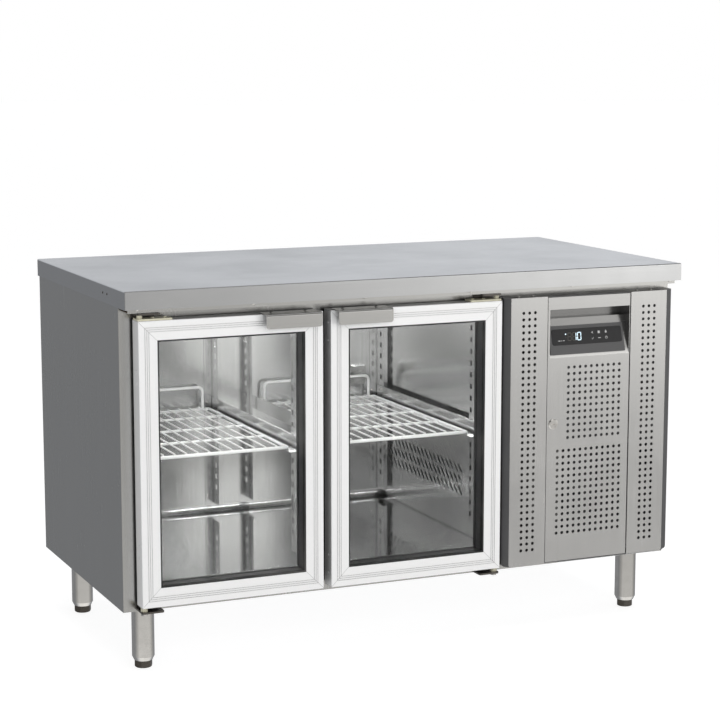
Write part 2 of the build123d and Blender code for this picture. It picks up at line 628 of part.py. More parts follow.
def vent_strips():
    """The two perforated uprights, each with one bottom corner cut off."""
    strips = []
    spans = ((COVER_LEFT, SEAM_LEFT, -1), (SEAM_RIGHT, COVER_RIGHT, 1))
    for (x0, x1, out), grid_x in zip(spans, STRIP_HOLES_X):
        sheet = rect(x0, x1, COVER_BOTTOM, COVER_TOP)
        corner = sheet.vertices().group_by(Axis.Y)[0].sort_by(Axis.X)[-1 if out > 0 else 0]
        sheet = chamfer(corner, CORNER_CUT)
        strips.append(front_plate(drilled(sheet, [(grid_x, *STRIP_FIELD)]), DOOR_FRONT, SHEET))
    return strips


def service_panel():
    """The hinged centre panel below the display: two perforated fields and a folded foot."""
    z0 = COVER_BOTTOM + PLATE + 0.1
    sheet = drilled(rect(SEAM_LEFT + 1.5, PANEL_RIGHT, z0, RECESS_BOTTOM), PANEL_FIELDS)
    sheet -= Pos(LOCK_X, LOCK_Z) * Circle(8.0 + FIT)
    return front_plate(sheet, DOOR_FRONT, SHEET) + pivot_fold(z0)


def pivot_fold(z):
    """The fold at an end of the hinged panel, with the hole for its pin."""
    px, py = PANEL_PIVOT
    fold = block(SEAM_LEFT + 12, PANEL_RIGHT, DOOR_FRONT + SHEET, DOOR_FRONT + 13, z, z + SHEET)
    return fold - rod((px, py, z - 1), (px, py, z + 3), PANEL_PIN_D + 2 * FIT)


def lock_barrel():
    """A cam lock: flanged head with a key slot, barrel through the panel, short cam."""
    head = Pos(0, 0, 1.5) * Cylinder(12.0, 3.0)
    head = chamfer(head.edges().group_by(Axis.Z)[-1], 1.5)
    head -= Pos(0, 0, 3.0) * Cylinder(7.5, 1.6)
    head -= Pos(0, 0, 1.5) * Box(2.0, 9.0, 4.0)
    head += Pos(0, 0, -9) * Cylinder(8.0, 18.0)
    head -= Pos(0, 0, 0) * Box(2.0, 9.0, 9.0)
    head += Pos(-3.5, 0, -17) * Box(21.0, 12.0, 2.0)
    return facing(LOCK_X, DOOR_FRONT, LOCK_Z, (0, -1, 0)) * head


def display_housing():
    """The hinged panel's upper end: a top strip over a recess with a sloping floor."""
    t = SHEET
    y, deep = DOOR_FRONT, DOOR_FRONT + RECESS_DEPTH
    x0, x1 = SEAM_LEFT + RECESS_CLEAR, PANEL_RIGHT
    edge = SEAM_LEFT + 1.5
    upper = side_extrusion([(y, RECESS_TOP + t), (y, RECESS_TOP), (deep, RECESS_TOP), (deep, SLOPE_TOP),
                            (deep + t, SLOPE_TOP), (deep + t, RECESS_TOP + t)], x0, x1)
    upper += block(edge, x1, y, y + t, RECESS_TOP, PANEL_TOP)
    upper += block(edge, x0, y, y + t, RECESS_BOTTOM, RECESS_TOP)
    for wall_x in (x0, x1 - t):
        upper += block(wall_x, wall_x + t, y, deep + t, RECESS_BOTTOM, RECESS_TOP + t)
    upper += pivot_fold(PANEL_TOP - t)
    slope = side_extrusion([(y, RECESS_BOTTOM), (y + SLOPE_LEAN, SLOPE_TOP), (deep + t, SLOPE_TOP),
                            (deep + t, SLOPE_TOP - t), (y + SLOPE_LEAN + t, SLOPE_TOP - t),
                            (y + t, RECESS_BOTTOM)], x0, x1)
    return upper + slope - controller_seat()


def slope_location(x, z):
    """A location on the slope's face: local x along the sheet, local y up the slope."""
    share = (z - RECESS_BOTTOM) / (SLOPE_TOP - RECESS_BOTTOM)
    y = DOOR_FRONT + SLOPE_LEAN * share
    height = SLOPE_TOP - RECESS_BOTTOM
    return Plane(origin=(x, y, z), x_dir=(1, 0, 0), z_dir=(0, -height, SLOPE_LEAN)).location


def slope_length(z0, z1):
    """The distance up the slope between two heights."""
    lean = math.atan2(SLOPE_LEAN, SLOPE_TOP - RECESS_BOTTOM)
    return (z1 - z0) / math.cos(lean)


def window_place():
    return slope_location((WINDOW_LEFT + WINDOW_RIGHT) / 2, (WINDOW_BOTTOM + WINDOW_TOP) / 2)


def controller_seat():
    """The hole in the slope that the controller's case passes through."""
    return window_place() * Box(CASE_WIDTH + 1, CASE_HEIGHT + 1, 12)


def window_outline(gap):
    """The window's rounded outline, smaller by a gap all round."""
    width = WINDOW_RIGHT - WINDOW_LEFT - 2 * gap
    height = slope_length(WINDOW_BOTTOM, WINDOW_TOP) - 2 * gap
    return RectangleRounded(width, height, WINDOW_CORNER - gap)


def display_bezel():
    """The dark surround on the slope, with a window for the controller."""
    height = slope_length(BEZEL_BOTTOM, BEZEL_TOP)
    width = BEZEL_RIGHT - BEZEL_LEFT
    plate = extrude(slope_location((BEZEL_LEFT + BEZEL_RIGHT) / 2, (BEZEL_BOTTOM + BEZEL_TOP) / 2)
                    * RectangleRounded(width, height, 1.5), BEZEL_T)
    return plate - extrude(window_place() * window_outline(0.0), BEZEL_T)


def controller():
    """The thermostat: a flat window with its case behind the slope."""
    place = window_place()
    face = extrude(place * window_outline(0.2), BEZEL_T + 0.8)
    case = place * Pos(0, 0, -CASE_DEPTH / 2) * Box(CASE_WIDTH, CASE_HEIGHT, CASE_DEPTH)
    return face + case


# ---- cooling system ------------------------------------------------------------------
def evaporator_cover():
    """The right wall of the cold space, with three rows of slanted air slots."""
    y0, y1 = LINER_FRONT, LINER_BACK
    z0, z1 = OPENING_BOTTOM, OPENING_TOP - 25.0
    sheet = Pos((y0 + y1) / 2, (z0 + z1) / 2) * Rectangle(y1 - y0, z1 - z0)
    slot = Rot(0, 0, 45) * SlotOverall(AIR_SLOT_LENGTH, AIR_SLOT_WIDTH)
    for row in range(AIR_SLOT_ROWS):
        for column in range(AIR_SLOT_COLUMNS):
            sheet -= Pos(AIR_SLOT_Y + AIR_SLOT_PITCH * column, AIR_SLOT_Z + AIR_ROW_PITCH * row) * slot
    wall = extrude(Plane.YZ.offset(OPENING_RIGHT) * sheet, SHEET)
    corner = wall.edges().filter_by(Axis.X).group_by(Axis.Z)[0].sort_by(Axis.Y)[-1]
    return fillet(corner, COVE)


def spaced(start, end, count):
    """Evenly spaced numbers from start to end, both included."""
    return [start + (end - start) * i / (count - 1) for i in range(count)]


def finned_coil(fins, tube_lines):
    """Fins on parallel tubes, as one soldered block."""
    coil = Part() + fins
    for start, end in tube_lines:
        coil += rod(start, end, TUBE_D)
    return coil


def evaporator_coil():
    x0, x1 = OPENING_RIGHT + 15.0, LINER_RIGHT - 15.0
    (y0, y1), (z0, z1) = COIL_Y, COIL_Z
    fins = [block(x0, x1, y - FIN_T / 2, y + FIN_T / 2, z0, z1) for y in spaced(y0, y1, COIL_FINS)]
    tubes = [((x, y0 - 8, z), (x, y1 + 8, z))
             for x in (x0 + 25, x1 - 25) for z in spaced(z0 + 30, z1 - 30, 3)]
    return finned_coil(fins, tubes)


def fan_rotor(radius, hub_d, depth, blades):
    """A hub with pitched blades about the Z axis, bored for the motor's shaft."""
    rotor = Cylinder(hub_d / 2, depth)
    span = radius - hub_d / 2 + 4
    for i in range(blades):
        blade = Pos(hub_d / 2 - 4 + span / 2, 0, 0) * Rot(32, 0, 0) * Box(span, radius * 0.62, 2.0)
        rotor += Rot(0, 0, 360 / blades * i) * blade
    rotor &= Cylinder(radius, depth)
    return rotor - Pos(0, 0, 3) * Cylinder(SHAFT_D / 2 + FIT, depth)


def fan_motor(can_d, can_length, gap, ring_d, arms):
    """A motor above the XY plane with its shaft down, and arms out to the fan's ring."""
    motor = Pos(0, 0, gap + can_length / 2) * Cylinder(can_d / 2, can_length)
    motor = fillet(motor.edges().group_by(Axis.Z)[-1], 5.0)
    motor += Pos(0, 0, gap / 2 - 2) * Cylinder(SHAFT_D / 2, gap + 4)
    for i in range(arms):
        arm = Pos(ring_d / 4 + can_d / 8, 0, gap + 4) * Box(ring_d / 2 - can_d / 4, 10, 3)
        arm += Pos(ring_d / 2 + 1, 0, (gap + 4) / 2 - 1) * Box(4, 10, gap + 9)
        motor += Rot(0, 0, 360 / arms * i + 45) * arm
    return motor


def evaporator_fan_place():
    return Pos(*EVAPORATOR_FAN)


def condenser_fan_place():
    return facing(*CONDENSER_FAN, (0, 1, 0))


def evaporator_fan_motor():
    """Motor on four arms over a plate across the coil chamber."""
    half_x = (LINER_RIGHT - OPENING_RIGHT - SHEET) / 2 - 1.0
    plate = Pos(0, 0, -1) * Box(2 * half_x, 150, 2) - Cylinder(EVAPORATOR_FAN_R + 4, 10)
    motor = fan_motor(52.0, 36.0, 16.0, 2 * EVAPORATOR_FAN_R + 12, 4)
    return evaporator_fan_place() * (plate + Pos(0, 0, -0.5) * motor)


def condenser_fan_motor():
    """The shroud plate behind the condenser, and the motor on its four arms."""
    shroud = Pos(0, 0, -1) * Box(250, 250, 2) - Cylinder(CONDENSER_FAN_R + 5, 10)
    motor = fan_motor(80.0, 55.0, 20.0, 2 * CONDENSER_FAN_R + 16, 4)
    return condenser_fan_place() * (shroud + Pos(0, 0, -0.5) * motor)


def evaporator_fan_blades():
    return evaporator_fan_place() * Pos(0, 0, 1) * fan_rotor(EVAPORATOR_FAN_R, 26.0, 18.0, 5)


def condenser_fan_blades():
    return condenser_fan_place() * Pos(0, 0, 2) * fan_rotor(CONDENSER_FAN_R, 50.0, 26.0, 5)


def tray(x0, x1, y0, y1, z0, height, wall):
    """A shallow open tray."""
    outer = block(x0, x1, y0, y1, z0, z0 + height)
    return outer - block(x0 + wall, x1 - wall, y0 + wall, y1 - wall, z0 + wall, z0 + height)


def drip_pan():
    """The condensate pan on the chamber's floor."""
    return tray(OPENING_RIGHT + 8, LINER_RIGHT - 8, -100, LINER_BACK - 30, OPENING_BOTTOM, 28, PLATE)


def unit_base():
    """The tray that carries the condensing unit."""
    return tray(MACHINE_LEFT + 10, CABINET_SIDE - 12, CABINET_FRONT + 18, CABINET_BACK - 20,
                BASE_Z, 16.0, PLATE)


def compressor():
    """A hermetic pot on a foot plate with four rubber mounts and a terminal cover."""
    x, y = COMPRESSOR
    floor = BASE_Z + PLATE
    pot = Pos(x, y, floor + 105) * Cylinder(78.0, 170.0)
    pot = fillet(pot.edges().group_by(Axis.Z)[-1], 45.0)
    pot = fillet(pot.edges().group_by(Axis.Z)[0], 25.0)
    pot += Pos(x, y, floor + 92) * Cylinder(81.0, 6.0)
    pot += block(x - 85, x + 85, y - 55, y + 55, floor + 16, floor + 19)
    pot += Pos(x, y, floor + 24) * Cylinder(50.0, 16.0)
    pot += block(x + 60, x + 104, y - 30, y + 30, floor + 60, floor + 120)
    mounts = [rod((x + dx, y + dy, floor), (x + dx, y + dy, floor + 16), 22.0)
              for dx in (-70, 70) for dy in (-42, 42)]
    return [pot] + mounts


def condenser_coil():
    """Vertical fins on four tube rows, standing in the base tray behind the cover."""
    x0, x1 = MACHINE_LEFT + 20.0, CABINET_SIDE - 22.0
    y0, y1 = CONDENSER_Y
    z0, z1 = BASE_Z + PLATE, CONDENSER_TOP
    fins = [block(x - FIN_T / 2, x + FIN_T / 2, y0, y1, z0, z1) for x in spaced(x0, x1, CONDENSER_FINS)]
    tubes = [((x0 - 6, y, z), (x1 + 6, y, z))
             for y in (y0 + 12, y1 - 12) for z in spaced(z0 + 37, z1 - 30, 4)]
    return finned_coil(fins, tubes)


def refrigerant_pipes():
    """Discharge line to the condenser, suction and liquid lines to the coil, filter drier."""
    x, y = COMPRESSOR
    top = BASE_Z + PLATE + 190
    bend = 12.0
    coil_end = LINER_RIGHT - 13.0
    suction_y, liquid_y = PIPE_Y
    low = PIPE_Z - 40
    suction = wire([(x, y + 20, top), (x, y + 20, low), (x, suction_y, low), (x, suction_y, PIPE_Z),
                    (coil_end, suction_y, PIPE_Z)], PIPE_D, bend)
    end_x, end_y = MACHINE_LEFT + 12.0, CONDENSER_Y[1] - 12.0
    over = CONDENSER_TOP + 20
    discharge = wire([(x - 26, y - 10, top), (x - 26, y - 10, over), (end_x, y - 10, over),
                      (end_x, end_y, over), (end_x, end_y, over - 42)], LINE_D, bend)
    drier_x = MACHINE_LEFT + 22.0
    drier_bottom, drier_top = PIPE_Z - 160, PIPE_Z - 34
    liquid = wire([(drier_x, liquid_y, drier_top), (drier_x, liquid_y, PIPE_Z),
                   (coil_end, liquid_y, PIPE_Z)], LINE_D, bend)
    drier = rod((drier_x, liquid_y, drier_bottom), (drier_x, liquid_y, drier_top), 19.0)
    return [suction, discharge, liquid, drier]


def control_box():
    """The electrical box on the insulated wall."""
    box = block(MACHINE_LEFT, MACHINE_LEFT + 60, -150, 20, 575, 715)
    return fillet(box.edges().filter_by(Axis.X), 6.0)


def power_cord():
    """The lead: from the control box, out under the grille and down to its plug."""
    x, high, inside = CORD_X, 620.0, CABINET_BACK - 40
    outside = CABINET_BACK + 5.5
    plug_bottom, plug_top = 62.0, 112.0
    lead = wire([(MACHINE_LEFT + 60, -60, high), (x, -60, high), (x, inside, high),
                 (x, inside, CORD_HOLE_Z), (x, outside, CORD_HOLE_Z), (x, outside, plug_top)], CORD_D, 5.0)
    plug = block(x - 18, x + 18, outside - 22, outside + 2, plug_bottom, plug_top)
    plug = fillet(plug.edges(), 4.0)
    pins = [rod((x + dx, outside - 10, plug_bottom - 18), (x + dx, outside - 10, plug_bottom), 4.8)
            for dx in (-9.5, 9.5)]
    return [lead, plug + pins]


def rear_grille():
    """The louvred sheet over the machine bay's back, notched for the lead."""
    x0, x1 = MACHINE_LEFT + 12, CABINET_SIDE - 14
    z0, z1 = CABINET_BOTTOM + 20, CABINET_TOP - 100
    sheet = rect(x0, x1, z0, z1)
    for column in (-1, 1):
        for row in range(17):
            cx = (x0 + x1) / 2 + column * 66.0
            sheet -= Pos(cx, z0 + 90 + 26.0 * row) * SlotOverall(100.0, 9.0)
    sheet -= Pos(CORD_X, CORD_HOLE_Z) * Circle(CORD_D / 2 + 2.5)
    return front_plate(sheet, CABINET_BACK, SHEET)


def probe_cover():
    """The guard of the temperature probe on the back wall of the right bay."""
    x, z = PROBE_X, PROBE_Z
    front = LINER_BACK - 14
    guard = block(x - 15, x + 15, front, LINER_BACK, z - 24, z + 24)
    guard = fillet(guard.edges().filter_by(Axis.Y), 3.0)
    for dz in (-12, 0, 12):
        guard -= block(x - 9, x + 9, front - 1, front + 3, z + dz - 2, z + dz + 2)
    return guard


# ---- legs, feet and screws -------------------------------------------------------------
def legs():
    """Polished tubes with a mounting plate on top and a tapered end cap."""
    wall, cap = 1.5, 12.0
    r, half = LEG_D / 2, LEG_PLATE / 2
    shoulder = FOOT_HEIGHT + LEG_TAPER_HEIGHT
    z0 = FOOT_HEIGHT + cap
    tubes = []
    for x in (-LEG_X, LEG_X):
        for y in LEG_Y:
            tube = rod((x, y, shoulder), (x, y, CABINET_BOTTOM), LEG_D)
            tube += Pos(x, y, FOOT_HEIGHT + LEG_TAPER_HEIGHT / 2) * Cone(r - LEG_TAPER, r, LEG_TAPER_HEIGHT)
            tube -= rod((x, y, z0), (x, y, CABINET_BOTTOM), LEG_D - 2 * wall)
            tube += block(x - half, x + half, y - half, y + half, CABINET_BOTTOM - 3, CABINET_BOTTOM)
            tube -= rod((x, y, 0), (x, y, z0 + 1), STUD_D + 2 * FIT)
            tubes.append(tube)
    return tubes


def foot(x, y):
    """A levelling foot: hexagonal pad with a rounded sole and a stud into the leg."""
    pad = extrude(RegularPolygon(FOOT_ACROSS / 2, 6, major_radius=False), FOOT_HEIGHT - 0.1)
    sole = Pos(0, 0, FOOT_HEIGHT / 2) * Cylinder(FOOT_ACROSS / 2 + 2, FOOT_HEIGHT)
    pad &= fillet(sole.edges().group_by(Axis.Z)[0], 5.0)
    stud = Pos(0, 0, FOOT_HEIGHT + STUD_LENGTH / 2 - 1) * Cylinder(STUD_D / 2, STUD_LENGTH)
    return Pos(x, y, 0) * (pad + stud)


def cabinet_screws():
    """Screw heads of one kind: under the worktop, on the pilasters, on the cover's top."""
    heads = []
    for x in spaced(28.0 - HALF_WIDTH, HALF_WIDTH - 29.5, 6):
        heads.append(button_head(facing(x, TOP_FRONT + 5.5, CABINET_TOP, (0, 0, -1))))
    for x, side in webs():
        for z in PILASTER_SCREWS:
            head = facing(x + side * 14.0, LINER_BACK - SHEET, z, (0, -1, 0))
            heads.append(button_head(head, 7.0, 2.0))
    for x in COVER_SCREWS:
        heads.append(button_head(Pos(x, DOOR_FRONT + 22.0, COVER_TOP), 7.0, 2.0))
    return heads


# ---- write every sub-part ----------------------------------------------------------------
save("worktop_skin", worktop_skin())
save("worktop_core", worktop_core())
save("worktop_front_rail", worktop_front_rail())
save("left_side_panel", left_side_panel())
save("right_side_panel", mirror_x(left_side_panel()))
save("back_panel", back_panel())
save("bottom_panel", bottom_panel())
save("top_panel", top_panel())
save("front_frame", front_frame())
save("centre_mullion", centre_mullion())
save("inner_liner", *inner_liner())
save("insulation", *insulation())
save("front_pilasters", *front_pilasters())
save("rear_pilasters", *rear_pilasters())
save("shelf_runners", *shelf_runners())
save("left_shelf", shelf(BAYS[0]))
save("right_shelf", shelf(BAYS[1]))
save("hinge_brackets", *hinge_brackets())
save("hinge_pins", *hinge_pins())
save("hinge_bushes", *hinge_bushes())
export_door("left", LEFT_DOOR, -1)
export_door("right", RIGHT_DOOR, 1)
save("service_cover_frame", service_cover_frame())
save("vent_strips", *vent_strips())
save("service_panel", service_panel())
save("lock_barrel", lock_barrel())
save("display_housing", display_housing())
save("display_bezel", display_bezel())
save("controller", controller())
save("evaporator_cover", evaporator_cover())
save("evaporator_coil", evaporator_coil())
save("evaporator_fan_motor", evaporator_fan_motor())
save("evaporator_fan_blades", evaporator_fan_blades())
save("drip_pan", drip_pan())
save("unit_base", unit_base())
save("compressor", *compressor())
save("condenser_coil", condenser_coil())
save("condenser_fan_motor", condenser_fan_motor())
save("condenser_fan_blades", condenser_fan_blades())
save("refrigerant_pipes", *refrigerant_pipes())
save("control_box", control_box())
save("power_cord", *power_cord())
save("rear_grille", rear_grille())
save("probe_cover", probe_cover())
save("legs", *legs())
save("cabinet_screws", *cabinet_screws())
for row, y in zip(("front", "rear"), LEG_Y):
    for side, x in (("left", -LEG_X), ("right", LEG_X)):
        save(f"foot_{row}_{side}", foot(x, y))
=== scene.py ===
import json
import math

import bmesh
import bpy
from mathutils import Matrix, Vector


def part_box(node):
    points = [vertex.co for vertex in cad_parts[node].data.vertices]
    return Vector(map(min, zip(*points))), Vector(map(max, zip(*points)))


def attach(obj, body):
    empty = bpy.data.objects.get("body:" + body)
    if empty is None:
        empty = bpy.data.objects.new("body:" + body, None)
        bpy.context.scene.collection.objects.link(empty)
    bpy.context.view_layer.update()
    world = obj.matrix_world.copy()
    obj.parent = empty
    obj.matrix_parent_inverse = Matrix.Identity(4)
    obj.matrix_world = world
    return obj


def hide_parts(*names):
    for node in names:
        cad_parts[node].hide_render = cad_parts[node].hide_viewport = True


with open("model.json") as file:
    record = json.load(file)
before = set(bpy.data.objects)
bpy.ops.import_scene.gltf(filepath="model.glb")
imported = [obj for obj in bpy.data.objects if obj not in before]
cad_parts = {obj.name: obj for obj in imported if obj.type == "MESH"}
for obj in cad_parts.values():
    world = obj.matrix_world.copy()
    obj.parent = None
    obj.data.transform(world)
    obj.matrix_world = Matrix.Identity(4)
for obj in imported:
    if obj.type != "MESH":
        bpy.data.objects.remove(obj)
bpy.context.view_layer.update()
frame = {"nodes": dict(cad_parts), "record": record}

NODES = frame["nodes"]
SLOT_OF = {part["node"]: part["material_slot"] for part in frame["record"]["subparts"]}

# camera: metres and degrees
CAMERA_PLACE = (-1.9321, -4.4146, 1.3762)
CAMERA_DOWN, CAMERA_TURN = 8.99, -23.7
CAMERA_LENS, CAMERA_SENSOR = 102.4, 36.0

# door seals: the section in shares of its width and depth, from the door's side round by
# the neck and the magnet pocket's crown, and back by the other side of the neck
SEAL_WIDTH = 0.018
SEAL_SECTION = ((0.0, 0.0), (1.0, 0.0), (1.0, 0.16), (0.72, 0.22), (0.80, 0.35), (0.70, 0.55),
                (0.93, 0.66), (0.96, 0.80), (0.88, 0.93), (0.70, 0.99), (0.50, 1.0), (0.30, 0.99),
                (0.12, 0.93), (0.04, 0.80), (0.07, 0.66),
                (0.30, 0.55), (0.20, 0.35), (0.28, 0.22), (0.0, 0.16))

# display: metres from the middle of the controller's window
DIGIT_WIDTH, DIGIT_HEIGHT, DIGIT_PITCH = 0.0088, 0.0175, 0.0128
LAST_DIGIT_X = -0.0205
DIGITS_X = [LAST_DIGIT_X + DIGIT_PITCH * (i - 2) for i in range(3)]
LIT_SEGMENTS = ("", "bc", "abcdef")
SEGMENT, SEGMENT_GAP = 0.0015, 0.0003
LEAN = 0.08
FILM = 0.0003                                     # how far the segments and keys stand proud
SIGN = ((-0.0118, 0.0062), (-0.0078, 0.0062), 0.0024)      # from the first digit's middle
SPARE_SIGN = ((-0.0112, -0.0012), (-0.0084, -0.0012), 0.0016)
KEY_X = (0.0145, 0.0325, 0.0510)
KEY_Y = (0.0068, -0.0068)
KEY_R, KEY_LINE = 0.0029, 0.0010
CAPTION = ((-0.077, -0.071), (-0.0695, -0.0665), (-0.065, -0.060))
CAPTION_Y, CAPTION_WIDTH = -0.0085, 0.0017

# rivets: radius and height of a head
DOME_STEPS = 16
DOME_ROWS = ((1.0, 0.0), (0.97, 0.45), (0.80, 0.80), (0.50, 0.98), (0.30, 1.0), (0.22, 0.72))
PANEL_RIVET, GRILLE_RIVET, SKIRT_RIVET = (0.0035, 0.0014), (0.004, 0.002), (0.0028, 0.0009)
PANEL_INSET, PANEL_END, PANEL_COUNT = 0.012, 0.08, 9
ROW_END = 0.018                                   # from a row's last rivet to the grille
GRILLE_INSET, GRILLE_END = 0.008, 0.012
UPRIGHT_COUNT = 5
SKIRT_Y, SKIRT_RISE = (-0.184, -0.215), 0.001

# lights: the stage lamps as name, place, target, size and power; the bays' lamps and cards
# stand just behind the doors, as size and power
STAGE_LAMPS = (("overhead", (0.3, -0.6, 3.4), (0, 0, 0), (3.2, 2.6), 60.0),
               ("front_fill", (-1.2, -3.4, 1.5), (0, 0, 0.45), (2.2, 1.8), 50.0))
BAY_LAMP, BAY_CARD, WINDOW_CARD = ((0.28, 0.05), 0.80), ((0.30, 0.48), 0.12), ((0.15, 0.26), 0.36)
LAMP_BELOW_TOP, LAMP_BEHIND_SHELF_FRONT, CARD_BEHIND_POST = 0.012, 0.02, 0.01
WINDOW_X, WINDOW_Z = 0.19, 0.60                   # from the left shelf's side, and from the floor

FLOOR_RADIUS, FLOOR_BELOW, FLOOR_GLOW = 40.0, 0.0005, 0.86


# ---- node graphs ----------------------------------------------------------------------
class Graph:
    """A shader tree that is filled in by short calls."""

    def __init__(self, tree):
        self.tree = tree
        tree.nodes.clear()

    def add(self, kind, settings=None, **inputs):
        node = self.tree.nodes.new("ShaderNode" + kind)
        for name, value in (settings or {}).items():
            setattr(node, name, value)
        for name, value in inputs.items():
            key = int(name[1:]) if name[0] == "_" else name.replace("_", " ")
            socket = node.inputs[key]
            if isinstance(value, bpy.types.NodeSocket):
                self.tree.links.new(value, socket)
            else:
                socket.default_value = value
        return node

    def place(self, stretch=(1, 1, 1), turn=(0, 0, 0)):
        """The object's own coordinates in metres, stretched."""
        where = self.add("TexCoord").outputs["Object"]
        return self.add("Mapping", Vector=where, Scale=stretch, Rotation=turn).outputs[0]

    def noise(self, where, scale, detail=2.0, roughness=0.5):
        made = self.add("TexNoise", Vector=where, Scale=scale, Detail=detail, Roughness=roughness)
        return made.outputs["Fac"]

    def fit(self, value, low, high, to_low, to_high):
        """Map one range of numbers onto another."""
        return self.add("MapRange", Value=value, From_Min=low, From_Max=high,
                        To_Min=to_low, To_Max=to_high).outputs[0]

    def smooth(self, value, low, high, to_low, to_high):
        return self.add("MapRange", {"interpolation_type": "SMOOTHSTEP"}, Value=value, From_Min=low,
                        From_Max=high, To_Min=to_low, To_Max=to_high).outputs[0]

    def maths(self, operation, a, b=0.0):
        return self.add("Math", {"operation": operation}, _0=a, _1=b).outputs[0]

    def mix(self, share, a, b):
        return self.add("Mix", {"data_type": "RGBA"}, _0=share, _6=a, _7=b).outputs[2]

    def bump(self, height, strength, distance):
        return self.add("Bump", Height=height, Strength=strength, Distance=distance).outputs[0]

    def edges(self, radius):
        """1 on sharp edges, 0 on flat faces."""
        rounded = self.add("Bevel", {"samples": 4}, Radius=radius).outputs[0]
        flat = self.add("NewGeometry").outputs["Normal"]
        close = self.add("VectorMath", {"operation": "DOT_PRODUCT"}, _0=rounded,
                         _1=flat).outputs["Value"]
        return self.fit(close, 0.995, 0.9, 0.0, 1.0)

    def openness(self, distance, least, shut=0.2, clear=0.85):
        """1 in the open, falling to least in a gap or a corner narrower than a distance."""
        seen = self.add("AmbientOcclusion", {"samples": 6}, Distance=distance).outputs["AO"]
        return self.fit(seen, shut, clear, least, 1.0)

    def darken(self, base, share):
        return self.mix(share, (0, 0, 0, 1), base)

    def principled(self, **inputs):
        return self.add("BsdfPrincipled", **inputs).outputs[0]

    def finish(self, shader):
        self.add("OutputMaterial", Surface=shader)


def shaded(name):
    made = bpy.data.materials.new(name)
    made.use_nodes = True
    return made, Graph(made.node_tree)


def tint(colour, factor):
    return tuple(min(1.0, c * factor) for c in colour) + (1.0,)


def stretched(along, fine, coarse):
    """Scales that draw a noise out along one axis: 0 is X, 1 is Y, 2 is Z."""
    return tuple(coarse if axis == along else fine for axis in range(3))


# ---- materials ------------------------------------------------------------------------
def brushed(name, colour, roughness, along, grain=0.5, smudge=0.08, edge=0.0, painted_shade=None,
            depth_shade=None):
    """Stainless sheet, ground along one axis, with broad handling marks.

    The painted-shade argument is what openness() takes: the sheet is darkened as painted shade where
    it is shut in.
    The depth-shade argument is two values of y and a share: as painted shade, the sheet darkens to
    that share from the first to the second.
    """
    made, g = shaded(name)
    fine = g.noise(g.place(stretched(along, 1400, 12)), 1.0, 3.0, 0.6)
    streak = g.noise(g.place(stretched(along, 160, 1.5)), 1.0, 2.0, 0.5)
    cloud = g.noise(g.place(), 5.0, 4.0, 0.55)
    speck = g.noise(g.place(), 60.0, 3.0, 0.6)
    tone = g.maths("ADD", g.fit(fine, 0.3, 0.7, 0.0, grain * 0.5),
                   g.fit(streak, 0.3, 0.7, 0.0, grain * 0.5))
    base = g.mix(tone, tint(colour, 0.93), tint(colour, 1.07))
    base = g.mix(g.fit(cloud, 0.35, 0.75, 0.0, 0.25), base, tint(colour, 0.94))
    rough = g.maths("ADD", g.fit(cloud, 0.3, 0.7, roughness - smudge / 2, roughness + smudge / 2),
                    g.fit(fine, 0.3, 0.7, -0.02, 0.03))
    rough = g.maths("ADD", rough, g.fit(speck, 0.62, 0.8, 0.0, smudge * 0.6))
    if edge:
        worn = g.edges(0.0012)
        base = g.mix(g.maths("MULTIPLY", worn, edge), base, tint(colour, 1.25))
        rough = g.maths("SUBTRACT", rough, g.maths("MULTIPLY", worn, 0.06))
    # painted shade: the sheet darkens where it is shut in
    if painted_shade:
        base = g.darken(base, g.openness(*painted_shade))
    # painted shade: the sheet darkens deeper along y
    if depth_shade:
        y = g.add("SeparateXYZ", Vector=g.place()).outputs[1]
        base = g.darken(base, g.fit(y, depth_shade[0], depth_shade[1], 1.0, depth_shade[2]))
    normal = g.bump(fine, 0.10 * grain + 0.02, 0.0002)
    g.finish(g.principled(Base_Color=base, Metallic=1.0, Roughness=rough, Normal=normal))
    return made


def liner(name, colour, roughness):
    """Bright sheet of the cold space: satin walls and a floor like a dull mirror."""
    made, g = shaded(name)
    grind = g.noise(g.place((420, 420, 5)), 1.0, 2.0, 0.5)
    cloud = g.noise(g.place(), 6.0, 4.0, 0.55)
    spot = g.noise(g.place(), 45.0, 4.0, 0.65)
    up = g.add("SeparateXYZ", Vector=g.add("NewGeometry").outputs["Normal"]).outputs[2]
    floor = g.fit(up, 0.7, 0.95, 0.0, 1.0)
    base = g.mix(g.fit(grind, 0.3, 0.7, 0.0, 1.0), tint(colour, 0.96), tint(colour, 1.04))
    base = g.mix(g.fit(cloud, 0.35, 0.75, 0.0, 0.4), base, tint(colour, 0.9))
    # painted shade: darker in the corners, where the walls meet each other and the floor
    base = g.darken(base, g.openness(0.018, 0.4, 0.15, 0.7))
    wall_rough = g.fit(cloud, 0.3, 0.7, roughness - 0.03, roughness + 0.04)
    rough = g.maths("MULTIPLY", wall_rough, g.fit(floor, 0.0, 1.0, 1.0, 0.4))
    rough = g.maths("ADD", rough, g.fit(spot, 0.6, 0.8, 0.0, 0.05))
    g.finish(g.principled(Base_Color=base, Metallic=1.0, Roughness=rough,
                          Normal=g.bump(grind, 0.02, 0.0001)))
    return made


def polished(name, colour, roughness):
    """Bright drawn steel with faint turning lines and haze."""
    made, g = shaded(name)
    line = g.noise(g.place((30, 30, 900)), 1.0, 2.0)
    haze = g.noise(g.place(), 40.0, 4.0, 0.6)
    rough = g.maths("ADD", g.fit(haze, 0.3, 0.7, roughness * 0.7, roughness * 1.5),
                    g.fit(line, 0.3, 0.7, -0.01, 0.02))
    base = g.mix(g.fit(haze, 0.35, 0.7, 0.0, 1.0), tint(colour, 1.04), tint(colour, 0.9))
    g.finish(g.principled(Base_Color=base, Metallic=1.0, Roughness=rough,
                          Normal=g.bump(line, 0.05, 0.0001)))
    return made


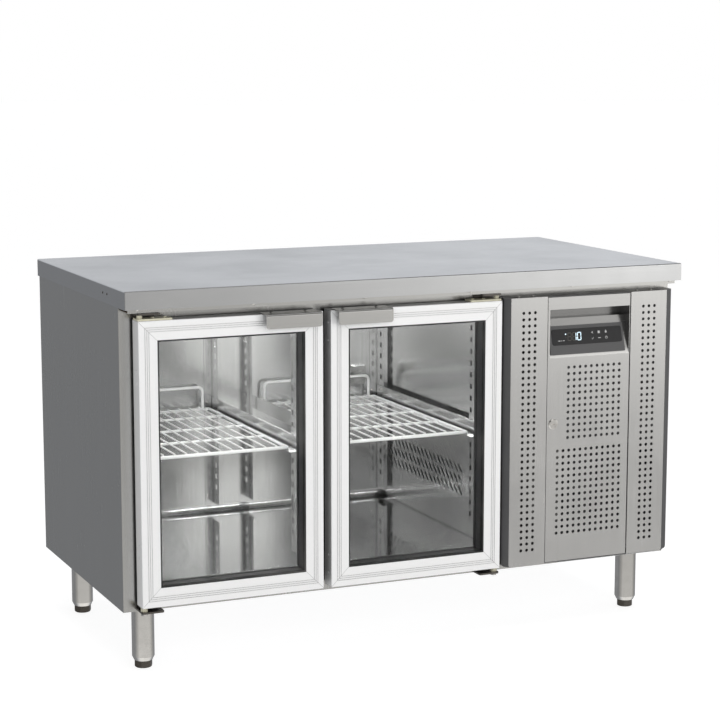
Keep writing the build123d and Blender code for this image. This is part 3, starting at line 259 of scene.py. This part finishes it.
def galvanised(name, colour):
    """Zinc-coated sheet: crystal flowers in tone and in gloss."""
    made, g = shaded(name)
    flower = g.add("TexVoronoi", Vector=g.place(), Scale=110.0).outputs["Color"]
    spangle = g.add("SeparateColor", Color=flower).outputs[0]
    cloud = g.noise(g.place(), 9.0, 4.0)
    base = g.mix(spangle, tint(colour, 0.82), tint(colour, 1.15))
    base = g.mix(g.fit(cloud, 0.4, 0.8, 0.0, 0.5), base, tint(colour, 0.85))
    rough = g.fit(spangle, 0.0, 1.0, 0.32, 0.5)
    g.finish(g.principled(Base_Color=base, Metallic=0.9, Roughness=rough,
                          Normal=g.bump(cloud, 0.1, 0.0006)))
    return made


def mitre_lines(g, box):
    """1 on the hairline joints of a rectangular frame, given its box."""
    low, high = box
    x, _, z = g.add("SeparateXYZ", Vector=g.place()).outputs
    across = g.maths("MINIMUM", g.maths("SUBTRACT", x, low.x), g.maths("SUBTRACT", high.x, x))
    upright = g.maths("MINIMUM", g.maths("SUBTRACT", z, low.z), g.maths("SUBTRACT", high.z, z))
    return g.fit(g.maths("ABSOLUTE", g.maths("SUBTRACT", across, upright)), 0.0003, 0.0009, 1.0, 0.0)


def anodised(name, colour, box):
    """Satin anodised frame: drawn lines, darker edges, mitre joints, painted shade in the grooves and
    in the corners.
    """
    made, g = shaded(name)
    drawn = g.noise(g.place((700, 700, 700)), 1.0, 2.0, 0.6)
    cloud = g.noise(g.place(), 7.0, 4.0, 0.6)
    worn = g.edges(0.0010)
    base = g.mix(g.fit(drawn, 0.3, 0.7, 0.0, 1.0), tint(colour, 0.97), tint(colour, 1.02))
    base = g.mix(g.fit(cloud, 0.45, 0.8, 0.0, 0.3), base, tint(colour, 0.92))
    base = g.mix(g.maths("MULTIPLY", worn, 0.25), base, tint(colour, 0.72))
    base = g.mix(g.maths("MULTIPLY", mitre_lines(g, box), 0.55), base, tint(colour, 0.25))
    # painted shade in the grooves, then near the handle and in the corners
    base = g.darken(base, g.openness(0.004, 0.9))
    base = g.darken(base, g.openness(0.040, 0.25, 0.1, 0.7))
    rough = g.maths("ADD", g.fit(cloud, 0.3, 0.7, 0.34, 0.44), g.fit(drawn, 0.3, 0.7, -0.03, 0.03))
    g.finish(g.principled(Base_Color=base, Metallic=0.55, Roughness=rough,
                          Normal=g.bump(drawn, 0.06, 0.0001)))
    return made


def painted(name, colour, roughness):
    """Sprayed enamel: orange peel, faint dust, thin paint on the edges."""
    made, g = shaded(name)
    skin = g.noise(g.place(), 420.0, 2.0, 0.5)
    cloud = g.noise(g.place(), 12.0, 4.0, 0.6)
    patchy = g.fit(g.noise(g.place(), 90.0, 3.0), 0.4, 0.65, 0.0, 1.0)
    worn = g.maths("MULTIPLY", g.edges(0.0010), patchy)
    base = g.mix(g.fit(cloud, 0.3, 0.75, 0.0, 1.0), tint(colour, 0.94), tint(colour, 1.10))
    base = g.mix(g.maths("MULTIPLY", worn, 0.5), base, tint(colour, 1.9))
    rough = g.fit(cloud, 0.3, 0.7, roughness - 0.05, roughness + 0.07)
    g.finish(g.principled(Base_Color=base, Roughness=rough, Normal=g.bump(skin, 0.12, 0.0003)))
    return made


def moulded(name, colour, roughness, stipple=0.15, scale=900.0, soft=0.0):
    """Injection-moulded plastic or rubber: stippled skin with uneven gloss."""
    made, g = shaded(name)
    skin = g.noise(g.place(), scale, 2.0, 0.6)
    cloud = g.noise(g.place(), 25.0, 4.0, 0.6)
    base = g.mix(g.fit(cloud, 0.3, 0.75, 0.0, 1.0), tint(colour, 0.92), tint(colour, 1.12))
    base = g.mix(g.fit(g.noise(g.place(), 6.0, 5.0), 0.5, 0.8, 0.0, 0.15), base, (0.5, 0.48, 0.45, 1))
    rough = g.maths("ADD", g.fit(cloud, 0.3, 0.7, roughness - 0.05, roughness + 0.07),
                    g.fit(skin, 0.3, 0.7, -0.03, 0.03))
    g.finish(g.principled(Base_Color=base, Roughness=rough, Sheen_Weight=soft,
                          Normal=g.bump(skin, stipple, 0.0002)))
    return made


def coated_wire(name, colour):
    """White dipped plastic on wire: soft gloss, small runs, a grey rub here and there."""
    made, g = shaded(name)
    run = g.noise(g.place(), 130.0, 3.0, 0.5)
    cloud = g.noise(g.place(), 18.0, 4.0, 0.6)
    base = g.mix(g.fit(cloud, 0.45, 0.8, 0.0, 0.6), tint(colour, 1.0), tint(colour, 0.84))
    rough = g.fit(cloud, 0.3, 0.7, 0.22, 0.36)
    g.finish(g.principled(Base_Color=base, Roughness=rough, Coat_Weight=0.25, Coat_Roughness=0.15,
                          Normal=g.bump(run, 0.12, 0.0005)))
    return made


def clear_glass(name):
    """A clear pane: light passes straight through, with a faint reflection and haze."""
    made, g = shaded(name)
    haze = g.noise(g.place(), 6.0, 5.0, 0.6)
    through = g.add("BsdfTransparent", Color=(0.990, 0.993, 0.992, 1)).outputs[0]
    dull = g.fit(haze, 0.4, 0.8, 0.0, 0.05)
    mirror = g.add("BsdfGlossy", Color=(1, 1, 1, 1), Roughness=dull).outputs[0]
    bloom = g.add("BsdfDiffuse", Color=(0.8, 0.82, 0.82, 1)).outputs[0]
    angle = g.add("Fresnel", IOR=1.45).outputs[0]
    pane = g.add("MixShader", _0=g.maths("MULTIPLY", angle, 0.15), _1=through, _2=mirror).outputs[0]
    g.finish(g.add("MixShader", _0=g.fit(haze, 0.45, 0.8, 0.0, 0.006), _1=pane, _2=bloom).outputs[0])
    return made


def plywood(name, colour):
    """Raw board: dark and light layers with fibres along them."""
    made, g = shaded(name)
    ring = g.add("TexWave", {"wave_type": "BANDS", "bands_direction": "Z"},
                 Vector=g.place((4, 30, 160)), Scale=1.0, Distortion=6.0, Detail=3.0).outputs["Fac"]
    fibre = g.noise(g.place((8, 500, 500)), 1.0, 3.0)
    base = g.mix(ring, tint(colour, 0.75), tint(colour, 1.12))
    base = g.mix(g.fit(fibre, 0.3, 0.7, 0.0, 0.4), base, tint(colour, 0.6))
    g.finish(g.principled(Base_Color=base, Roughness=0.75, Normal=g.bump(fibre, 0.3, 0.0006)))
    return made


def foam(name, colour):
    """Rigid foam: fine open cells, yellowed in patches."""
    made, g = shaded(name)
    cell = g.add("TexVoronoi", Vector=g.place(), Scale=500.0).outputs["Distance"]
    cloud = g.noise(g.place(), 14.0, 4.0)
    base = g.mix(g.fit(cloud, 0.3, 0.75, 0.0, 1.0), tint(colour, 0.85), tint(colour, 1.08))
    g.finish(g.principled(Base_Color=base, Roughness=0.9, Normal=g.bump(cell, 0.4, 0.001)))
    return made


def tarnished(name, colour):
    """Drawn copper tube with darker oxide patches."""
    made, g = shaded(name)
    patch = g.noise(g.place(), 30.0, 5.0, 0.65)
    base = g.mix(g.fit(patch, 0.45, 0.7, 0.0, 1.0), tint(colour, 1.1), tint(colour, 0.55))
    g.finish(g.principled(Base_Color=base, Metallic=1.0, Roughness=g.fit(patch, 0.3, 0.7, 0.25, 0.5),
                          Normal=g.bump(patch, 0.1, 0.0003)))
    return made


def dark_window(name, colour):
    """The controller's smooth smoked face, with fine scratches and a greasy film."""
    made, g = shaded(name)
    scratch = g.noise(g.place((1500, 60, 900), (0.3, 0.2, 0.5)), 1.0, 2.0, 0.7)
    film = g.noise(g.place(), 70.0, 4.0, 0.6)
    base = g.mix(g.fit(film, 0.4, 0.75, 0.0, 0.5), tint(colour, 1.0), tint(colour, 1.5))
    rough = g.maths("ADD", g.fit(film, 0.3, 0.7, 0.16, 0.26), g.fit(scratch, 0.62, 0.75, 0.0, 0.12))
    g.finish(g.principled(Base_Color=base, Roughness=rough, Specular_IOR_Level=0.22,
                          Coat_Weight=0.06, Coat_Roughness=0.08))
    return made


def lit(name, colour, strength):
    """A display segment: uneven like a diffused LED."""
    made, g = shaded(name)
    spot = g.noise(g.place(), 700.0, 2.0)
    glow = g.mix(g.fit(spot, 0.3, 0.7, 0.0, 1.0), tint(colour, 0.85), tint(colour, 1.0))
    g.finish(g.principled(Base_Color=glow, Roughness=0.4, Emission_Color=glow,
                          Emission_Strength=strength))
    return made


STEEL = (0.66, 0.66, 0.65)
MATERIALS = {
    "worktop_steel": brushed("worktop_brushed", (0.71, 0.72, 0.735), 0.20, 0, 0.35, 0.09),
    # painted shade darkens the cabinet sheet in narrow gaps
    "cabinet_steel": brushed("cabinet_brushed", STEEL, 0.24, 2, 0.4, 0.05,
                             painted_shade=(0.008, 0.3, 0.1, 0.8)),
    "galvanised_steel": galvanised("galvanised", (0.55, 0.56, 0.57)),
    "plywood": plywood("raw_plywood", (0.62, 0.47, 0.31)),
    "foam": foam("rigid_foam", (0.86, 0.80, 0.58)),
    "bright_steel": polished("polished_steel", (0.92, 0.905, 0.88), 0.12),
    "cream_plastic": moulded("cream_moulding", (0.50, 0.48, 0.37), 0.38, 0.06),
    "black_plastic": moulded("black_moulding", (0.012, 0.012, 0.013), 0.42),
    "seal_rubber": moulded("black_seal", (0.018, 0.018, 0.019), 0.6, 0.2, 1500.0, 0.1),
    "door_glass": clear_glass("clear_pane"),
    "white_coated_wire": coated_wire("white_coating", (0.86, 0.86, 0.85)),
    "cover_steel": brushed("cover_brushed", (0.70, 0.70, 0.70), 0.22, 2, 0.35, 0.07, 0.4),
    "dark_grey_paint": painted("dark_grey_enamel", (0.070, 0.070, 0.072), 0.36),
    "controller_plastic": dark_window("smoked_window", (0.016, 0.016, 0.017)),
    "coil_aluminium": brushed("fin_stock", (0.68, 0.69, 0.70), 0.35, 2),
    "black_paint": painted("black_enamel", (0.02, 0.02, 0.021), 0.3),
    "fan_plastic": moulded("fan_moulding", (0.03, 0.03, 0.032), 0.4),
    "copper": tarnished("copper_tube", (0.80, 0.44, 0.30)),
    "grey_plastic": moulded("grey_moulding", (0.42, 0.43, 0.44), 0.45),
    "cable_rubber": moulded("cable_sheath", (0.02, 0.02, 0.02), 0.5, 0.2, 1200.0, 0.1),
}
INSIDE = liner("liner_bright", (0.80, 0.80, 0.80), 0.19)
ALONG_X = brushed("rail_brushed", STEEL, 0.24, 0, 0.4, 0.08)
# painted shade darkens the handle where it sits close under the worktop
HANDLE_STRIP = brushed("handle_brushed", STEEL, 0.22, 0, 0.4, 0.08,
                       painted_shade=(0.10, 0.55, 0.3, 0.9))
# painted shade inside the display recess: darker in narrow places and deeper in from its face
RECESS_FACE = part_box("display_housing")[0].y
RECESS = brushed("recess_brushed", (0.67, 0.67, 0.67), 0.24, 0, 0.35, 0.07,
                 painted_shade=(0.03, 0.6, 0.1, 0.7),
                 depth_shade=(RECESS_FACE + 0.0005, RECESS_FACE + 0.004, 0.48))
FOOT_CAP = moulded("foot_brown", (0.045, 0.038, 0.030), 0.28, 0.08)
DARK_LEAF = polished("dark_leaf", (0.16, 0.15, 0.14), 0.3)
OWN_FINISH = {
    "inner_liner": INSIDE,
    "evaporator_cover": INSIDE,
    "front_pilasters": INSIDE,
    "rear_pilasters": INSIDE,
    "shelf_runners": INSIDE,
    "worktop_front_rail": ALONG_X,
    "probe_cover": ALONG_X,
    "left_door_handle": HANDLE_STRIP,
    "right_door_handle": HANDLE_STRIP,
    "hinge_brackets": DARK_LEAF,
    "display_housing": RECESS,
}
for side in ("left", "right"):
    OWN_FINISH[f"{side}_door_frame"] = anodised(f"{side}_aluminium", (0.93, 0.935, 0.945),
                                                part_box(f"{side}_door_frame"))
    for row in ("front", "rear"):
        OWN_FINISH[f"foot_{row}_{side}"] = FOOT_CAP


def finish_nodes():
    for name, obj in NODES.items():
        finish = OWN_FINISH[name] if name in OWN_FINISH else MATERIALS[SLOT_OF[name]]
        for slot in obj.material_slots:
            slot.material = finish


# ---- mesh pieces ----------------------------------------------------------------------
def piece(name, build, material, body):
    """A new piece: build fills a bmesh, and the piece rides on a body."""
    bm = bmesh.new()
    build(bm)
    bmesh.ops.recalc_face_normals(bm, faces=bm.faces)
    mesh = bpy.data.meshes.new(name)
    bm.to_mesh(mesh)
    bm.free()
    obj = bpy.data.objects.new(name, mesh)
    bpy.context.collection.objects.link(obj)
    mesh.materials.append(material)
    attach(obj, body)
    return obj


def prism(bm, outline, depth, place):
    """A closed slab: an outline in local x and y, from local z = 0 up to depth."""
    low = [bm.verts.new(place(x, y, 0.0)) for x, y in outline]
    high = [bm.verts.new(place(x, y, depth)) for x, y in outline]
    bm.faces.new(low[::-1])
    bm.faces.new(high)
    for i in range(len(outline)):
        j = (i + 1) % len(outline)
        bm.faces.new((low[i], low[j], high[j], high[i]))


def mitred_ring(profile, box):
    """A closed profile of (inset, y) points, carried round a rectangle seen from the front."""
    x0, x1, z0, z1 = box

    def build(bm):
        loops = []
        for cx, cz, sx, sz in ((x0, z0, 1, 1), (x1, z0, -1, 1), (x1, z1, -1, -1), (x0, z1, 1, -1)):
            loops.append([bm.verts.new((cx + sx * u, y, cz + sz * u)) for u, y in profile])
        for k in range(4):
            here, there = loops[k], loops[(k + 1) % 4]
            for i in range(len(profile)):
                j = (i + 1) % len(profile)
                bm.faces.new((here[i], here[j], there[j], there[i]))
    return build


def gasket(side):
    """A bellows seal: flat dart on the door, pleated neck, soft magnet pocket behind."""
    node = f"{side}_door_gasket"
    low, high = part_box(node)
    depth = high.y - low.y
    profile = [(SEAL_WIDTH * u, low.y + depth * v) for u, v in SEAL_SECTION]
    made = piece(f"{side}_bellows_seal", mitred_ring(profile, (low.x, high.x, low.z, high.z)),
                 MATERIALS["seal_rubber"], f"{side}_door")
    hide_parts(node)


def front_plane(node):
    """A node's foremost flat face: its centre, its right, its up and its outward normal."""
    mesh = NODES[node].data
    forward = [p for p in mesh.polygons if p.normal.y < -0.5]
    out = max(forward, key=lambda p: p.area).normal.copy()
    level = max(p.center.dot(out) for p in forward if p.normal.dot(out) > 0.9999)
    corners = [mesh.vertices[i].co for p in forward for i in p.vertices
               if p.normal.dot(out) > 0.9999 and p.center.dot(out) > level - 1e-4]
    right = Vector((1, 0, 0))
    up = out.cross(right).normalized()
    middle = out * level
    for along in (right, up):
        reach = [c.dot(along) for c in corners]
        middle += along * (min(reach) + max(reach)) / 2
    return middle, right, up, out


# ---- display --------------------------------------------------------------------------
DISPLAY = front_plane("controller")


def on_display(x, y, depth):
    """A point on the controller's window, x to the right and y up from its middle."""
    middle, right, up, out = DISPLAY
    return middle + right * x + up * y + out * depth


def bar(bm, start, end, width):
    """A segment with pointed ends between two points on the window."""
    (ax, ay), (bx, by) = start, end
    length = math.hypot(bx - ax, by - ay)
    dx, dy = (bx - ax) / length, (by - ay) / length
    half = width / 2
    shape = [(0, 0), (half, -half), (length - half, -half), (length, 0), (length - half, half),
             (half, half)]
    prism(bm, [(ax + dx * u - dy * v, ay + dy * u + dx * v) for u, v in shape], FILM, on_display)


def digit(bm, cx, cy, segments):
    """A seven-segment digit; the segments are named a to g, as usual."""
    w, h = DIGIT_WIDTH / 2, DIGIT_HEIGHT / 2
    corners = {"tl": (-w, h), "tr": (w, h), "ml": (-w, 0), "mr": (w, 0), "bl": (-w, -h), "br": (w, -h)}
    ends = {"a": "tl tr", "b": "tr mr", "c": "mr br", "d": "bl br", "e": "bl ml", "f": "ml tl",
            "g": "ml mr"}
    for name in segments:
        (ax, ay), (bx, by) = (corners[key] for key in ends[name].split())
        length = math.hypot(bx - ax, by - ay)
        ux, uy = (bx - ax) / length * SEGMENT_GAP, (by - ay) / length * SEGMENT_GAP
        start, end = (ax + ux, ay + uy), (bx - ux, by - uy)
        leaned = [(cx + x + LEAN * y, cy + y) for x, y in (start, end)]
        bar(bm, leaned[0], leaned[1], SEGMENT)


def sign(bm, ends):
    """A short bar in front of the first digit, from its two ends and its width."""
    (ax, ay), (bx, by), width = ends
    bar(bm, (DIGITS_X[0] + ax, ay), (DIGITS_X[0] + bx, by), width)


def lit_digits(bm):
    for x, segments in zip(DIGITS_X, LIT_SEGMENTS):
        digit(bm, x, 0.0, segments)
    sign(bm, SIGN)


def unlit_digits(bm):
    for x, segments in zip(DIGITS_X, LIT_SEGMENTS):
        digit(bm, x, 0.0, [s for s in "abcdefg" if s not in segments])
    sign(bm, SPARE_SIGN)


def ringed(bm, cx, cy, radius, width, start, end, steps=14):
    """An arc of a ring, in degrees, on the window."""
    angles = [math.radians(start + (end - start) * i / steps) for i in range(steps + 1)]
    outer = [(cx + radius * math.cos(a), cy + radius * math.sin(a)) for a in angles]
    bore = radius - width
    inner = [(cx + bore * math.cos(a), cy + bore * math.sin(a)) for a in angles]
    for i in range(steps):
        prism(bm, [outer[i], outer[i + 1], inner[i + 1], inner[i]], FILM, on_display)


def touch_keys(bm):
    """Six plain symbols: an arrow, a square, a drop, a tick, a dash and a power ring."""
    r, w = KEY_R, KEY_LINE
    x0, x1, x2 = KEY_X
    top, low = KEY_Y
    arrow = [(x0 + r, top + r), (x0 - r, top), (x0 + r, top - r), (x0 + r * 0.3, top)]
    edge = x1 + r * 0.8
    square = [(x1 - r, top - r), (edge, top - r), (edge, top + r), (x1 - r, top + r)]
    belly = [math.radians(a) for a in range(-220, 41, 20)]
    drop = [(x2 + r * 0.85 * math.cos(a), top - r * 0.2 + r * 0.85 * math.sin(a)) for a in belly]
    for outline in (arrow, square, drop + [(x2, top + r * 1.5)]):
        prism(bm, outline, FILM, on_display)
    bar(bm, (x0 - r, low), (x0 - r * 0.2, low - r * 0.8), w)
    bar(bm, (x0 - r * 0.2, low - r * 0.8), (x0 + r, low + r * 0.8), w)
    bar(bm, (x1 - r * 1.3, low), (x1 + r * 1.3, low), w * 1.5)
    ringed(bm, x2, low, r * 1.1, w, 120, 420)
    bar(bm, (x2, low), (x2, low + r * 1.4), w)


def caption_bars(bm):
    """Where a maker would print words: plain bars."""
    for x0, x1 in CAPTION:
        bar(bm, (x0, CAPTION_Y), (x1, CAPTION_Y), CAPTION_WIDTH)


def build_display():
    glow = lit("display_glow", (0.72, 0.90, 1.0), 0.95)
    ghost = moulded("display_ghost", (0.055, 0.052, 0.045), 0.3, 0.05)
    legend = moulded("display_legend", (0.42, 0.42, 0.42), 0.4, 0.05)
    marks = (("digits_lit", lit_digits, glow), ("digits_unlit", unlit_digits, ghost),
             ("touch_keys", touch_keys, legend), ("caption_bars", caption_bars, legend))
    for name, build, material in marks:
        piece(name, build, material, "service_panel")


# ---- rivets and marks -----------------------------------------------------------------
def spaced(start, end, count):
    """Evenly spaced numbers from start to end, both included."""
    return [start + (end - start) * i / (count - 1) for i in range(count)]


def dome(bm, centre, out, size):
    """A low domed head standing on a face, with a shallow dimple."""
    out = Vector(out)
    side = out.orthogonal().normalized()
    other = out.cross(side)
    radius, height = size
    rings = []
    for share, rise in DOME_ROWS:
        loop = []
        for i in range(DOME_STEPS):
            a = math.tau * i / DOME_STEPS
            spot = centre + (side * math.cos(a) + other * math.sin(a)) * radius * share
            loop.append(bm.verts.new(spot + out * height * rise))
        rings.append(loop)
    for here, there in zip(rings, rings[1:]):
        for i in range(DOME_STEPS):
            j = (i + 1) % DOME_STEPS
            bm.faces.new((here[i], here[j], there[j], there[i]))
    bm.faces.new(rings[0][::-1])
    bm.faces.new(rings[-1])


def back_rivets(bm):
    """Rivets along three edges of the back panel and down both sides of the grille."""
    low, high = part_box("back_panel")
    grille_low, grille_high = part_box("rear_grille")
    backwards = (0, 1, 0)
    for x in spaced(low.x + PANEL_INSET, grille_low.x - ROW_END, PANEL_COUNT):
        for z in (low.z + PANEL_INSET, high.z - PANEL_INSET):
            dome(bm, Vector((x, high.y, z)), backwards, PANEL_RIVET)
    for z in spaced(low.z + PANEL_END, high.z - PANEL_END, UPRIGHT_COUNT):
        dome(bm, Vector((low.x + PANEL_INSET, high.y, z)), backwards, PANEL_RIVET)
    for z in spaced(grille_low.z + GRILLE_END, grille_high.z - GRILLE_END, UPRIGHT_COUNT):
        for x in (grille_low.x + GRILLE_INSET, grille_high.x - GRILLE_INSET):
            dome(bm, Vector((x, grille_high.y, z)), backwards, GRILLE_RIVET)


def skirt_rivets(bm):
    """Two blind rivets in the worktop's left skirt."""
    low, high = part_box("worktop_skin")
    z = (low.z + high.z) / 2 + SKIRT_RISE
    for y in SKIRT_Y:
        dome(bm, Vector((low.x, y, z)), (-1, 0, 0), SKIRT_RIVET)


def build_rivets():
    piece("back_rivets", back_rivets, MATERIALS["bright_steel"], "cabinet")
    piece("skirt_rivets", skirt_rivets, DARK_LEAF, "cabinet")


# ---- studio ---------------------------------------------------------------------------
def build_world():
    """White to the camera. To reflections and light, a studio: bright front, grey back."""
    world = bpy.data.worlds.new("studio")
    world.use_nodes = True
    bpy.context.scene.world = world
    g = Graph(world.node_tree)
    x, y, z = g.add("SeparateXYZ", Vector=g.add("TexCoord").outputs["Generated"]).outputs
    # in front: a bright window low on the right, over a floor that is lighter near the object
    window = g.maths("MULTIPLY", g.smooth(z, -0.17, -0.10, 0.0, 1.0),
                     g.smooth(x, 0.25, 0.60, 0.0, 1.25))
    front = g.maths("ADD", window, g.smooth(z, -0.36, -0.25, 0.80, 0.42))
    # behind: a wall that grows lighter upwards and towards the right
    back = g.maths("MULTIPLY", g.smooth(z, -0.10, 0.12, 0.25, 0.70),
                   g.smooth(x, 0.25, 0.55, 0.93, 1.12))
    value = g.maths("ADD", g.maths("MULTIPLY", back, g.smooth(y, -0.2, 0.5, 0.0, 1.0)),
                    g.maths("MULTIPLY", front, g.smooth(y, -0.2, 0.5, 1.0, 0.0)))
    # dimmer at both ends and above, and bright again straight overhead
    side = g.smooth(g.maths("ABSOLUTE", x), 0.80, 0.98, 1.0, 0.65)
    above = g.smooth(z, 0.32, 0.55, 1.0, 0.12)
    value = g.maths("MULTIPLY", value, g.maths("MULTIPLY", side, above))
    value = g.maths("MAXIMUM", value, g.smooth(z, 0.78, 0.97, 0.0, 0.85))
    # warm in front, cool behind
    cast = g.mix(g.smooth(y, -0.3, 0.5, 0.0, 1.0), (1.0, 0.985, 0.955, 1), (0.945, 0.965, 1.0, 1))
    shade = g.add("VectorMath", {"operation": "SCALE"}, _0=cast, Scale=value).outputs[0]
    light = g.add("Background", Color=shade, Strength=1.0).outputs[0]
    plain = g.add("Background", Color=(1, 1, 1, 1), Strength=1.0).outputs[0]
    seen = g.add("LightPath").outputs["Is Camera Ray"]
    mixed = g.add("MixShader", _0=seen, _1=light, _2=plain).outputs[0]
    g.add("OutputWorld", Surface=mixed)


def build_floor():
    """A pale round floor that glows a little, so that it merges with the background."""
    made, g = shaded("pale_floor")
    grain = g.noise(g.place(), 30.0, 4.0, 0.6)
    base = g.mix(grain, (0.28, 0.28, 0.285, 1), (0.32, 0.32, 0.32, 1))
    g.finish(g.principled(Base_Color=base, Roughness=0.8, Emission_Color=(1, 1, 1, 1),
                          Emission_Strength=FLOOR_GLOW, Normal=g.bump(grain, 0.03, 0.001)))
    bm = bmesh.new()
    bmesh.ops.create_circle(bm, cap_ends=True, segments=96, radius=FLOOR_RADIUS)
    mesh = bpy.data.meshes.new("floor")
    bm.to_mesh(mesh)
    bm.free()
    floor = bpy.data.objects.new("floor", mesh)
    floor.location.z = -FLOOR_BELOW
    bpy.context.collection.objects.link(floor)
    mesh.materials.append(made)
    floor.visible_glossy = False


def softbox(name, place, target, size, power, seen_in_steel=True):
    """A rectangular light that the camera doesn't see."""
    data = bpy.data.lights.new(name, "AREA")
    data.shape = "RECTANGLE"
    data.size, data.size_y = size
    data.energy = power
    lamp = bpy.data.objects.new(name, data)
    bpy.context.collection.objects.link(lamp)
    lamp.location = place
    lamp.rotation_euler = (Vector(target) - Vector(place)).to_track_quat("-Z", "Y").to_euler()
    lamp.visible_camera = False
    lamp.visible_glossy = seen_in_steel


def build_lights():
    for name, place, target, size, power in STAGE_LAMPS:
        softbox(name, place, target, size, power, False)
    floor_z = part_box("left_door_frame")[0].z
    post_low, post_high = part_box("centre_mullion")
    ceiling = post_high.z - LAMP_BELOW_TOP
    card_y = post_high.y + CARD_BEHIND_POST
    card_z = (post_low.z + post_high.z) / 2
    for bay in ("left", "right"):
        low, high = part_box(f"{bay}_shelf")
        x = (low.x + high.x) / 2
        lamp_y = low.y + LAMP_BEHIND_SHELF_FRONT
        softbox(f"{bay}_bay_lamp", (x, lamp_y, ceiling), (x, high.y, floor_z), *BAY_LAMP)
        softbox(f"{bay}_bay_card", (x, card_y, card_z), (x, high.y, card_z), *BAY_CARD)
        if bay == "left":
            x = low.x + WINDOW_X
            softbox("window_card", (x, card_y, WINDOW_Z), (x, high.y, WINDOW_Z), *WINDOW_CARD)


def build_camera():
    data = bpy.data.cameras.new("camera")
    data.lens, data.sensor_width = CAMERA_LENS, CAMERA_SENSOR
    data.clip_start, data.clip_end = 0.05, 200.0
    camera = bpy.data.objects.new("camera", data)
    bpy.context.collection.objects.link(camera)
    camera.location = CAMERA_PLACE
    camera.rotation_euler = (math.radians(90 - CAMERA_DOWN), 0.0, math.radians(CAMERA_TURN))
    bpy.context.scene.camera = camera


finish_nodes()
gasket("left")
gasket("right")
build_display()
build_rivets()
build_world()
build_floor()
build_lights()
build_camera()
bpy.context.scene.view_settings.view_transform = "Standard"
